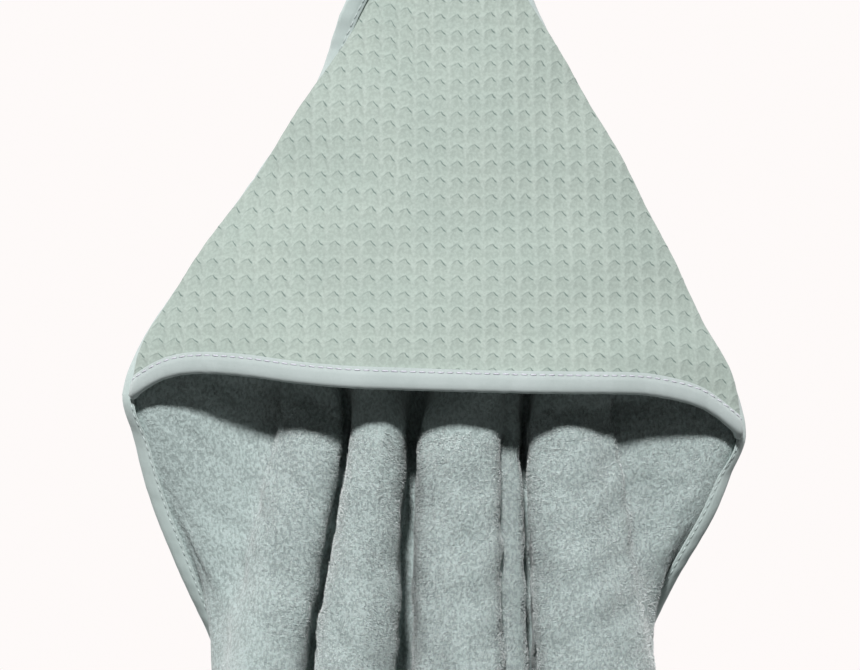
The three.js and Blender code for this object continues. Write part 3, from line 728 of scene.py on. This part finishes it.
def wavyTowel():
    # the middle surface with the small unevenness of real cloth
    grid, reach = towelSurface()
    across = rowLengths(grid)
    fromEdge = np.minimum.reduce([across - across[:, :1], across[:, -1:] - across])
    held = ease(*towel["edgeHeld"], fromEdge) * ease(*towel["topHeld"], reach)
    wave = (smoothNoise(across, reach, towel["broadWave"], towel["seed"])
            + towel["fineShare"] * smoothNoise(across, reach, towel["fineWave"], towel["seed"] + 1))
    return grid + gridNormals(grid) * (wave * held * towel["waveHeight"])[..., None], reach, across


towelGrid, towelReach, towelAcross = wavyTowel()
towelNormals = gridNormals(towelGrid)


def makeTowel():
    rows, columns = towelGrid.shape[:2]
    uv = np.stack([towelAcross.ravel(), towelReach.ravel()], 1) * mm
    mesh = arrayMesh("towel_cloth", towelGrid.reshape(-1, 3), gridFaces(rows, columns), uv)
    piece = linkObject("towel_cloth", mesh, materials["terry"])
    wall = piece.modifiers.new("wall", "SOLIDIFY")
    wall.thickness = towel["wall"] * mm
    wall.offset = 0
    return piece


towelPiece = makeTowel()
print("towel made", towelGrid.shape)


# the hood panel: its grid, the way it bulges and sways, and where its scales lie
panel = {
    "frontColumns": 276, "turnColumns": 5, "edgeColumns": 7, "rows": 260, "coarse": 10,
    "topReach": 8, "turnIn": 3.5, "turnDepth": 0.6, "half": 0.7,
    "relief": 0.14, "reliefEnd": (248, 240), "leastRelief": 0.25, "heldRelief": 0.2,
    "sway": 0.7, "swayWave": 62, "swaySeed": 3, "swayStart": (20, 90), "swayEnd": (247, 225),
    "heldColumns": (4, 16), "stretch": (-80, -215),
    "pitchTop": 6.6, "pitchBottom": 7.0, "apexX": 0.8, "apexZ": -73.2, "rowPitch": 6.55,
    "rowCrowd": 0.00021, "crowdFrom": 90, "firstRow": 20,
}

# how far the rows of scales rise (or fall, if below 0), over which part across and down the panel
rowShifts = [(5.6, (-5, -36), (-200, -70)), (1.4, (4, 20), (-160, -70)), (-5.0, (62, 112), (-165, -225))]


def openingHeight(share):
    rows = np.array(openingRows, float)
    fine = np.linspace(0, 1, 401)
    return np.interp(share, fine, blur(np.interp(fine, rows[:, 0], rows[:, 1]), 9))


def panelSurface():
    # the middle of the panel: flat in the binding at both sides, bulged out between
    reach = np.linspace(panel["topReach"], cape["hoodLeg"], panel["rows"] + 1)
    left, right = seamAt(-1, reach), seamAt(1, reach)
    way = reach / cape["hoodLeg"]
    level = ease(0, 1, way) * way**3
    table = np.array(seamRows, float)
    drop = -cape["tipDrop"] - (left["root"][:, 2] + right["root"][:, 2]) / 2
    bulge = np.interp(drop, table[:, 0], table[:, 5])
    turns = []
    for place, side in ((left, -1), (right, 1)):
        x = place["x"] - side * panel["turnIn"] * (1 - np.sin(place["turn"]))
        turns.append(np.stack([x, np.full(len(reach), -panel["turnDepth"]), place["root"][:, 2]], 1))
    share = np.linspace(0, 1, panel["frontColumns"] + 1)[None, :]
    away = np.abs(2 * share - 1) ** cape["bulgePower"]
    corners = openingRows[0][1] + (openingRows[-1][1] - openingRows[0][1]) * share
    lift = (openingHeight(share) - corners) * level[:, None]
    mixed = [turns[0][:, None, k] * (1 - share) + turns[1][:, None, k] * share for k in range(3)]
    front = np.stack([mixed[0], mixed[1] - bulge[:, None] * (1 - away), mixed[2] + lift], -1)
    sides = []
    for place, turn in ((left, turns[0]), (right, turns[1])):
        edge = place["edge"] - place["through"] * cape["panelShift"]
        root = place["root"] - place["through"] * cape["panelShift"]
        outer = np.linspace(0, 1, panel["edgeColumns"], endpoint=False)[None, :, None]
        inner = np.linspace(0, 1, panel["turnColumns"], endpoint=False)[None, :, None]
        sides.append(np.concatenate([edge[:, None] * (1 - outer) + root[:, None] * outer,
                                     root[:, None] * (1 - inner) + turn[:, None] * inner], 1))
    grid = np.concatenate([sides[0], front, sides[1][:, ::-1]], 1)
    rounded = np.stack([blur(grid[j], 2) for j in range(len(grid))])
    return rounded, reach


def knitPlace(grid):
    # where each point lies in the knitted repeat: columns across, rows down
    steps = np.linalg.norm(np.diff(grid, axis=1), axis=2)
    first = panel["edgeColumns"] + panel["turnColumns"]
    x = grid[..., 0].copy()
    for k in range(first - 1, -1, -1):
        x[:, k] = x[:, k + 1] - steps[:, k]
    for k in range(grid.shape[1] - first, grid.shape[1]):
        x[:, k] = x[:, k - 1] + steps[:, k - 1]
    z = grid[..., 2]
    stretched = ease(*panel["stretch"], z)
    pitch = panel["pitchTop"] + (panel["pitchBottom"] - panel["pitchTop"]) * stretched
    column = (x - panel["apexX"]) / pitch + 0.5
    lift = sum(rise * ease(*acrossPart, x) * ease(*downPart, z) for rise, acrossPart, downPart in rowShifts)
    depth = panel["apexZ"] - (z - lift)
    crowded = panel["rowCrowd"] * np.maximum(0, depth - panel["crowdFrom"]) ** 2
    return column, depth / panel["rowPitch"] + crowded + panel["firstRow"]


def scaleRelief(column, row):
    # 1 on the rim of each scale, 0 in its dished middle, and a notch under the point
    u = column - np.floor(column) - 0.5
    v = row - scaleShape["pointFall"] * (2 * np.abs(u)) ** scaleShape["pointPower"]
    v = v - np.floor(v)
    radius = np.sqrt(u * u + ((v - scaleShape["centre"]) * scaleShape["squash"]) ** 2)
    notch = (1 - ease(0, scaleShape["notchEnd"], v)) * ease(0.4, 0.1, np.abs(u - 0.08))
    return ease(*scaleShape["dish"], radius) - scaleShape["notchDepth"] * notch


def panelFaces(grid, reach, column, row):
    # front with its scales in relief, plain back, and the middle that the binding follows
    normals = gridNormals(grid)
    swayed = ease(*panel["swayStart"], reach) * ease(*panel["swayEnd"], reach)
    sway = smoothNoise(grid[..., 0], grid[..., 2], panel["swayWave"], panel["swaySeed"]) * panel["sway"]
    fromSide = np.minimum(np.arange(grid.shape[1]), np.arange(grid.shape[1])[::-1])
    held = ease(*panel["heldColumns"], fromSide)[None, :]
    middle = grid - normals * (sway * swayed[:, None] * held)[..., None]
    raised = panel["leastRelief"] + (1 - panel["leastRelief"]) * ease(*panel["reliefEnd"], reach)
    relief = scaleRelief(column, row) * panel["relief"] * raised[:, None]
    relief = relief * (panel["heldRelief"] + (1 - panel["heldRelief"]) * held)
    front = middle - normals * (panel["half"] + relief)[..., None]
    return front, middle + normals * panel["half"], middle, normals


def joinSheets(shell, front, back, step):
    # two grids, the back one coarser, joined round their four rims
    sheets = []
    for sheet in (front, back):
        rows, columns = sheet.shape[:2]
        made = bmesh.ops.create_grid(shell, x_segments=columns - 1, y_segments=rows - 1, size=1)
        for vert, place in zip(made["verts"], sheet.reshape(-1, 3) * mm):
            vert.co = place
        sheets.append([made["verts"][k * columns:(k + 1) * columns] for k in range(rows)])
    rims = (lambda rows: rows[0], lambda rows: rows[-1],
            lambda rows: [line[0] for line in rows], lambda rows: [line[-1] for line in rows])
    for rim in rims:
        fine, coarse = (rim(sheet) for sheet in sheets)
        for k in range(len(coarse) - 1):
            shell.faces.new([coarse[k + 1], coarse[k], *fine[k * step:(k + 1) * step + 1]])
    bmesh.ops.recalc_face_normals(shell, faces=shell.faces)
    shell.verts.index_update()


def makePanel():
    grid, reach = panelSurface()
    column, row = knitPlace(grid)
    front, back, middle, normals = panelFaces(grid, reach, column, row)
    step = panel["coarse"]
    shell = bmesh.new()
    uvLayer = shell.loops.layers.uv.new("cloth")
    joinSheets(shell, front, back[::step, ::step], step)
    knit = np.stack([column, row], -1)
    places = np.concatenate([knit.reshape(-1, 2), knit[::step, ::step].reshape(-1, 2)]).tolist()
    for face in shell.faces:
        for corner in face.loops:
            corner[uvLayer].uv = places[corner.vert.index]
    mesh = bpy.data.meshes.new("hood_cloth")
    shell.to_mesh(mesh)
    shell.free()
    mesh.shade_smooth()
    return linkObject("hood_cloth", mesh, materials["hood"]), middle, normals


panelPiece, panelMiddle, panelNormals = makePanel()
print("hood panel made", panelMiddle.shape)


# both bindings: a folded tape, its hem stitched down, a little puckered; hold and back are the
# depths of cloth before and behind the middle, and short is how much the tape lacks of the flange
tape = {
    "wall": 0.6, "puff": 0.45, "nose": 1.5, "step": 2.2, "stitchIn": 1.5, "sunk": 0.62,
    "pucker": 0.16, "puckerWave": 5.5, "ripple": 0.25, "rippleWave": 46,
    "openingStep": 1.4, "openingHold": 1.25, "openingBack": 0.95, "openingShort": 0.3,
    "edgeHold": 4.15, "edgeBack": 1.2, "edgeShort": 0.4, "tipArm": 5.0, "holdEnd": (5, 13),
    "tipSpacing": 1.6, "tipColumns": 6, "openingSeed": 21, "edgeSeed": 41,
}


def squareTo(vectors, normals):
    # the vectors, made square to the normals
    return unit(vectors - normals * np.sum(vectors * normals, axis=1, keepdims=True))


def tapeSections(edges, inward, normals, front, back, arm, seed):
    # sections of the tape over an edge; front and back are the depths of cloth that it holds
    along = lengthAlong(edges)
    out = squareTo(-inward, normals)
    wall = tape["wall"]
    pucker = smoothNoise(along, along * 0, tape["puckerWave"], seed) * tape["pucker"]
    ripple = smoothNoise(along, along * 0, tape["rippleWave"], seed + 1) * tape["ripple"]
    puffed = tape["puff"] + pucker
    stitched = arm - tape["stitchIn"]
    middle = (back - front) / 2
    half = (back + front) / 2 + wall
    zero = along * 0
    outer = [
        (arm + ripple, zero, -front - 0.12), (arm - 0.25 + ripple, zero, -front - wall * 0.9),
        (stitched, zero, -front - wall * tape["sunk"] - pucker * 0.3),
        (stitched - 0.9, zero, -front - wall - puffed * 0.55),
        (arm * 0.5, zero, -front - wall - puffed), (arm * 0.2, zero, -front - wall - puffed * 0.9),
        (zero, zero + 0.05, -front - wall - puffed * 0.45),
    ]
    for turn in (-60, -30, 0, 30, 60):
        angle = math.radians(turn)
        outer.append((zero, tape["nose"] * math.cos(angle) + pucker * 0.5,
                      middle + (half + puffed * 0.2) * math.sin(angle)))
    outer += [
        (zero, zero + 0.05, back + wall + puffed * 0.45), (arm * 0.2, zero, back + wall + puffed * 0.9),
        (arm * 0.5, zero, back + wall + puffed), (stitched - 0.9, zero, back + wall + puffed * 0.55),
        (stitched, zero, back + wall * tape["sunk"] - pucker * 0.3),
        (arm - 0.25 - ripple, zero, back + wall * 0.9), (arm - ripple, zero, back + 0.12),
    ]
    inner = [(arm - ripple, zero, back), (zero + 0.2, zero, back), (zero, zero + tape["nose"] - wall, middle),
             (zero + 0.2, zero, -front), (arm + ripple, zero, -front)]
    sections = []
    for inPart, outPart, through in outer + inner:
        parts = [(inPart, inward), (outPart, out), (through, normals)]
        sections.append(edges + sum(np.broadcast_to(part, zero.shape)[:, None] * way for part, way in parts))
    return np.stack(sections, 1), along * mm


def resample(path, step, *others):
    # path, and what goes with each of its points, at even steps along it
    along = lengthAlong(path)
    at = np.linspace(0, along[-1], int(along[-1] / step) + 1)

    def read(values):
        if values.ndim == 1:
            return np.interp(at, along, values)
        return np.stack([np.interp(at, along, values[:, k]) for k in range(values.shape[1])], 1)
    return [read(values) for values in (path, *others)]


# one stitch: half its length, its half width and height, and how far it stands off the tape
stitch = {
    "pitch": 3.6, "half": 1.42, "wide": 0.4, "high": 0.3, "lift": 0.2,
    "lengthSpread": 0.08, "skewSpread": 0.05, "openingSeed": 31, "edgeSeed": 51,
}
# a thread that dives at both ends: its two tips and two rings of four corners
stitchRing = [(0.8, 0), (0, 0.8), (-0.8, 0), (0, -0.8)]
stitchShape = np.array([(-1, 0, -0.25), *((-0.55, *corner) for corner in stitchRing),
                        *((0.55, *corner) for corner in stitchRing), (1, 0, -0.25)], float)
stitchFaces = np.array(
    [[0, 1 + (k + 1) % 4, 1 + k] for k in range(4)]
    + [[1 + k, 1 + (k + 1) % 4, 5 + k] for k in range(4)]
    + [[1 + (k + 1) % 4, 5 + (k + 1) % 4, 5 + k] for k in range(4)]
    + [[9, 5 + k, 5 + (k + 1) % 4] for k in range(4)])


def makeStitches(name, edges, inward, normals, hold, arm, material, side, seed):
    # side -1 lies on the front of the tape, 1 on its back
    depth = hold + tape["wall"] * tape["sunk"]
    line = edges + inward * (arm - tape["stitchIn"])[:, None] + normals * (side * depth)[:, None]
    places, outs = resample(line, stitch["pitch"], normals * side)
    ahead = unit(np.gradient(places, axis=0))
    outs = unit(outs)
    across = unit(np.cross(outs, ahead))
    draw = np.random.default_rng(seed)
    count = len(places)
    ahead = unit(ahead + across * draw.normal(0, stitch["skewSpread"], count)[:, None])
    half = (stitch["half"] + draw.normal(0, stitch["lengthSpread"], count))[:, None]
    mesh = scatterMesh(name, stitchShape, stitchFaces, places + outs * stitch["lift"],
                       ahead * half, across * stitch["wide"], outs * stitch["high"])
    return linkObject(name, mesh, material)


def makeOpeningBinding():
    first = panel["edgeColumns"]
    keep = slice(first, panelMiddle.shape[1] - first)
    edges = panelMiddle[-1, keep]
    inward = unit(panelMiddle[-7, keep] - edges)
    normals = panelNormals[-1, keep]
    edges, inward, normals = resample(blur(edges, 3), tape["openingStep"], blur(inward, 4), blur(normals, 4))
    inward = unit(inward)
    normals = squareTo(unit(normals), inward)
    front, back = (np.full(len(edges), tape[name]) for name in ("openingHold", "openingBack"))
    arm = np.full(len(edges), cape["flange"] - tape["openingShort"])
    sections, along = tapeSections(edges, inward, normals, front, back, arm, tape["openingSeed"])
    piece = linkObject("opening_tape", sweepMesh("opening_tape", sections, along), materials["openingTape"])
    sides = (("opening_stitches_front", front, -1, stitch["openingSeed"]),
             ("opening_stitches_back", back, 1, stitch["openingSeed"] + 1))
    return piece, [makeStitches(name, edges, inward, normals, hold, arm, materials["thread"], side, seed)
                   for name, hold, side, seed in sides]


openingPiece, openingStitches = makeOpeningBinding()


def borderPath():
    # round the towel from the tip: down the left, along the hem, up the right; each station is a
    # row and column on the edge, then the row and column that it faces inward
    rows, columns = towelGrid.shape[:2]
    middle = columns // 2
    tip = towelGrid[0]
    columnGap = tape["tipColumns"]

    def pickAlong(order):
        chosen, last = [], None
        for k in order:
            if last is None or np.linalg.norm(tip[k] - tip[last]) > tape["tipSpacing"]:
                chosen.append((0, k, 3, k))
                last = k
        return chosen
    stations = pickAlong(range(middle - columnGap, columnGap - 1, -1))
    stations += [(j, 0, j, 3) for j in range(0, rows - 2)]
    stations.append((rows - 1, 0, rows - 3, 3))
    stations += [(rows - 1, i, rows - 2, i) for i in range(3, columns - 3)]
    stations.append((rows - 1, columns - 1, rows - 3, columns - 4))
    stations += [(j, columns - 1, j, columns - 4) for j in range(rows - 3, -1, -1)]
    stations += pickAlong(range(columns - columnGap, middle + columnGap - 1, -1))
    row, column, rowInside, columnInside = np.array(stations).T
    edges = towelGrid[row, column]
    inward = unit(towelGrid[rowInside, columnInside] - edges)
    return edges, inward, towelNormals[row, column], towelReach[row, column], row == 0


def makeEdgeBinding():
    edges, inward, normals, reach, onTip = borderPath()
    single = ease(*(cape["hoodLeg"] + past for past in tape["holdEnd"]), reach)
    front = tape["edgeHold"] + (tape["edgeBack"] - tape["edgeHold"]) * single
    arm = np.where(onTip, tape["tipArm"], cape["flange"] - tape["edgeShort"])
    edges, inward, normals, front, arm = resample(edges, tape["step"], inward, normals, front, arm)
    edges = blur(edges, 1)
    inward = unit(blur(inward, 3))
    normals = squareTo(unit(blur(normals, 3)), inward)
    front, arm = blur(front, 2), blur(arm, 2)
    back = np.full(len(edges), tape["edgeBack"])
    sections, along = tapeSections(edges, inward, normals, front, back, arm, tape["edgeSeed"])
    piece = linkObject("edge_tape", sweepMesh("edge_tape", sections, along), materials["edgeTape"])
    sides = (("edge_stitches_front", front, -1, stitch["edgeSeed"]),
             ("edge_stitches_back", back, 1, stitch["edgeSeed"] + 1))
    return piece, [makeStitches(name, edges, inward, normals, hold, arm, materials["edgeThread"], side, seed)
                   for name, hold, side, seed in sides]


edgePiece, edgeStitches = makeEdgeBinding()
print("bindings made")


# hanging loop: one band bent over, its ends sewn into the tip
loop = {
    "bandWidth": 7, "bandWall": 1.2, "bow": 6.5, "foot": 2.6, "bottom": -22.6, "steps": 48, "edge": 0.35,
    "crown": 0.06,
}


def makeLoop():
    angle = np.linspace(0, math.pi, loop["steps"] + 1)
    narrow = loop["foot"] + (loop["bow"] - loop["foot"]) * (1 - np.abs(np.cos(angle)) ** 4)
    height = loop["bottom"] - loop["bottom"] * np.sin(angle) ** 0.8
    path = np.stack([-np.cos(angle) * narrow, 0 * angle, height], 1)
    ahead = unit(np.gradient(path, axis=0))
    out = np.stack([-ahead[:, 2], 0 * angle, ahead[:, 0]], 1)
    half, wall, edge = loop["bandWidth"] / 2, loop["bandWall"], loop["edge"]
    outline = [(-half + edge, 0.05), (-half, edge), (-half, wall - edge), (-half + edge, wall),
               (0, wall + loop["crown"]), (half - edge, wall), (half, wall - edge), (half, edge),
               (half - edge, 0.05), (0, 0)]
    sideways = np.array([0, 1.0, 0])
    sections = np.stack([path + sideways * y + out * t for y, t in outline], 1)
    mesh = sweepMesh("loop_band", sections, lengthAlong(path) * mm)
    return linkObject("loop_band", mesh, materials["loop"])


loopPiece = makeLoop()
print("loop made")

# tufts of the terry where it is seen closest; lean is sideways to outward, heading in degrees
pile = {
    "pieces": 3, "perPiece": 48000, "length": 0.95, "radius": 0.2, "lean": 1.05, "lift": 0.75, "seed": 8,
    "reachFrom": 222, "heightTo": -338, "fade": 36, "cell": 2.5, "depth": 4.5, "rimGap": 0.4, "facing": -0.15,
    "heading": 100, "swirlWave": 26, "swirlSeed": 14, "swirl": 0.5, "swirlSpread": 0.55,
    "leanShare": 0.8, "leanSpread": 0.22, "lengthSpread": 0.16, "radiusSpread": 0.15,
    # the root tone, below the tip tone, is painted shade deep in the pile
    "flapShorter": 0.55, "flapEdge": (-70, -86), "rootTone": 0.35, "tipTone": 0.65, "toneSpread": 0.25,
}
tuftShape = np.array([[1.0, 0, 0], [-0.5, 0.87, 0], [-0.5, -0.87, 0], [0.2, 0, 1]], float)
tuftFaces = np.array([[0, 2, 1], [3, 0, 1], [3, 1, 2], [3, 2, 0]])


def frontDepth(middle):
    # how far forward the foremost cloth is, cell by cell
    cell = pile["cell"]
    column = np.floor((middle[..., 0] + 200) / cell).astype(int)
    row = np.floor((-middle[..., 2]) / cell).astype(int)
    front = np.full((row.max() + 2, column.max() + 2), 1e3)
    np.minimum.at(front, (row, column), middle[..., 1])
    return front[row, column]


def tuftRoots(draw, total):
    # the cells and the places in them where the tufts stand, as many as the shown area of each calls for
    corners = [towelGrid[:-1, :-1], towelGrid[:-1, 1:], towelGrid[1:, :-1], towelGrid[1:, 1:]]
    middle = sum(corners) / 4
    area = np.linalg.norm(np.cross(corners[1] - corners[0], corners[2] - corners[0]), axis=2)
    across = towelAcross[:-1, :-1]
    fromEdge = np.minimum(across - towelAcross[:-1, :1], towelAcross[:-1, -1:] - across)
    shown = ((towelReach[:-1, :-1] > pile["reachFrom"])
             & (middle[..., 1] < frontDepth(middle) + pile["depth"])
             & (fromEdge > cape["flange"] + pile["rimGap"]) & (towelNormals[:-1, :-1, 1] > pile["facing"]))
    thinning = ease(pile["heightTo"] - pile["fade"], pile["heightTo"], middle[..., 2])
    chance = (area * shown * thinning).ravel()
    steps = np.cumsum(chance)
    picks = np.searchsorted(steps, (np.arange(total) + draw.uniform(0, 1, total)) / total * steps[-1])
    j, i = np.divmod(np.minimum(picks, len(chance) - 1), area.shape[1])
    a, b = draw.uniform(0, 1, (2, total, 1))
    places = ((1 - a) * (1 - b) * towelGrid[j, i] + a * (1 - b) * towelGrid[j, i + 1]
              + (1 - a) * b * towelGrid[j + 1, i] + a * b * towelGrid[j + 1, i + 1])
    outs = -unit(towelNormals[j, i] * (1 - a) + towelNormals[j, i + 1] * a)
    print("tufts stand over", round(steps[-1]), "square mm")
    return j, i, places, outs


def makePile():
    draw = np.random.default_rng(pile["seed"])
    total = pile["pieces"] * pile["perPiece"]
    j, i, places, outs = tuftRoots(draw, total)
    sideways = unit(towelGrid[j, i + 1] - towelGrid[j, i])
    up = unit(np.cross(outs, sideways))
    swirl = smoothNoise(towelAcross[j, i], towelReach[j, i], pile["swirlWave"], pile["swirlSeed"])
    turned = swirl * pile["swirl"] + draw.normal(0, pile["swirlSpread"], total)
    heading = math.radians(pile["heading"]) + turned[:, None]
    lean = pile["lean"] * (pile["leanShare"] + draw.normal(0, pile["leanSpread"], total))[:, None]
    forward = unit(outs + (sideways * np.cos(heading) + up * np.sin(heading)) * lean)
    right = unit(np.cross(forward, outs + 0.01))
    upward = np.cross(forward, right)
    short = 1 - pile["flapShorter"] * ease(*pile["flapEdge"], places[:, 0])
    long = (pile["length"] * short * (1 + draw.normal(0, pile["lengthSpread"], total)))[:, None]
    wide = (pile["radius"] * (1 + draw.normal(0, pile["radiusSpread"], total)))[:, None]
    spread = draw.uniform(-pile["toneSpread"], pile["toneSpread"], (total, 1))
    # painted shade: the three root corners of each tuft get a darker tone than its tip, on top of a random
    # spread per tuft
    tones = np.array([pile["rootTone"]] * 3 + [pile["tipTone"]]) + spread
    lifted = places + outs * pile["lift"]
    made = []
    for k in range(pile["pieces"]):
        pick = slice(k, total, pile["pieces"])
        name = f"terry_pile_{k + 1}"
        mesh = scatterMesh(name, tuftShape, tuftFaces, lifted[pick], (upward * wide)[pick],
                           (right * wide)[pick], (forward * long)[pick], tones[pick].ravel())
        made.append(linkObject(name, mesh, materials["tufts"]))
    print("pile made", total, "tufts")
    return made


pilePieces = makePile()

# what each piece rides on and stands for
bodyName = "root" if "root" in frame["bodies"] else sorted(frame["bodies"])[0]
together = [towelPiece, panelPiece, openingPiece, edgePiece, loopPiece,
            *openingStitches, *edgeStitches, *pilePieces]
for piece in together:
    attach(piece, bodyName)
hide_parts("towel")
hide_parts("hood_panel")
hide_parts("opening_binding")
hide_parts("edge_binding")
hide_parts("hanging_loop")

# floor, lights and camera, in metres
studio = {
    "floorHeight": -1.32, "floorSize": 9.0,
    "floorSeen": (0.84, 0.83, 0.82), "floorBounce": (0.14, 0.14, 0.14),
    "sunStrength": 4.2, "sunAngle": 6.0, "sunHeight": 40, "sunSide": -7,
    "ambient": 0.028, "ambientColour": (0.84, 1.0, 0.98), "roomColour": (0.99, 0.955, 0.945),
    "backLight": 34, "backSize": 1.4, "backPlace": (2.0, 1.5, 0.4), "backAim": (0, 0, -0.55),
    "cameraAway": 1.5, "centre": (-0.0108, -0.2), "frameWidth": 0.344, "sensor": 36,
}


def makeFloor():
    # pale to the camera, darker to bounced light, and clear from below
    sheet = bmesh.new()
    bmesh.ops.create_grid(sheet, x_segments=1, y_segments=1, size=studio["floorSize"])
    bmesh.ops.translate(sheet, verts=sheet.verts, vec=(0, 0, studio["floorHeight"]))
    mesh = bpy.data.meshes.new("studio_floor")
    sheet.to_mesh(mesh)
    sheet.free()
    material, tree, shader = newMaterial("floorPaint")
    seen = tree.nodes.new("ShaderNodeLightPath")
    paint = mixColours(tree, seen.outputs["Is Camera Ray"], studio["floorBounce"], studio["floorSeen"])
    tree.links.new(paint, shader.inputs["Base Color"])
    shader.inputs["Roughness"].default_value = 0.9
    side = tree.nodes.new("ShaderNodeNewGeometry")
    tree.links.new(mathNode(tree, "SUBTRACT", 1.0, side.outputs["Backfacing"]), shader.inputs["Alpha"])
    floor = linkObject("studio_floor", mesh, material)


def makeLight(name, kind, strength, place, toward):
    light = bpy.data.lights.new(name, kind)
    light.energy = strength
    holder = bpy.data.objects.new(name, light)
    holder.location = place
    holder.rotation_mode = "QUATERNION"
    holder.rotation_quaternion = toward.to_track_quat("-Z", "Y")
    bpy.context.scene.collection.objects.link(holder)
    return light


def makeLights():
    height, side = math.radians(studio["sunHeight"]), math.radians(studio["sunSide"])
    level = math.cos(height)
    toward = Vector((-level * math.sin(side), level * math.cos(side), -math.sin(height)))
    sun = makeLight("key", "SUN", studio["sunStrength"], (0, 0, 0), toward)
    sun.angle = math.radians(studio["sunAngle"])
    x, y, z = studio["backPlace"]
    for name, place in (("back_left", Vector((-x, y, z))), ("back_right", Vector((x, y, z)))):
        lamp = makeLight(name, "AREA", studio["backLight"], place, Vector(studio["backAim"]) - place)
        lamp.size = studio["backSize"]


def makeWorld():
    # a near-white room to look at, and a weaker one to be lit by
    scene = bpy.context.scene
    world = bpy.data.worlds.new("studio")
    scene.world = world
    world.use_nodes = True
    tree = world.node_tree
    output = tree.nodes["World Output"]
    dim = tree.nodes["Background"]
    dim.inputs["Color"].default_value = (*studio["ambientColour"], 1)
    dim.inputs["Strength"].default_value = studio["ambient"]
    seen = tree.nodes.new("ShaderNodeBackground")
    seen.inputs["Color"].default_value = (*studio["roomColour"], 1)
    path = tree.nodes.new("ShaderNodeLightPath")
    mix = tree.nodes.new("ShaderNodeMixShader")
    tree.links.new(path.outputs["Is Camera Ray"], mix.inputs[0])
    tree.links.new(dim.outputs[0], mix.inputs[1])
    tree.links.new(seen.outputs[0], mix.inputs[2])
    tree.links.new(mix.outputs[0], output.inputs["Surface"])
    scene.view_settings.view_transform = "Standard"
    scene.view_settings.look = "None"


def makeCamera():
    data = bpy.data.cameras.new("camera")
    data.sensor_width = studio["sensor"]
    data.lens = studio["sensor"] * studio["cameraAway"] / studio["frameWidth"]
    data.clip_start, data.clip_end = 0.05, 30
    camera = bpy.data.objects.new("camera", data)
    camera.location = (studio["centre"][0], -studio["cameraAway"], studio["centre"][1])
    camera.rotation_euler = (math.pi / 2, 0, 0)
    bpy.context.scene.collection.objects.link(camera)
    bpy.context.scene.camera = camera


makeFloor()
makeLights()
makeWorld()
makeCamera()
print("studio made")
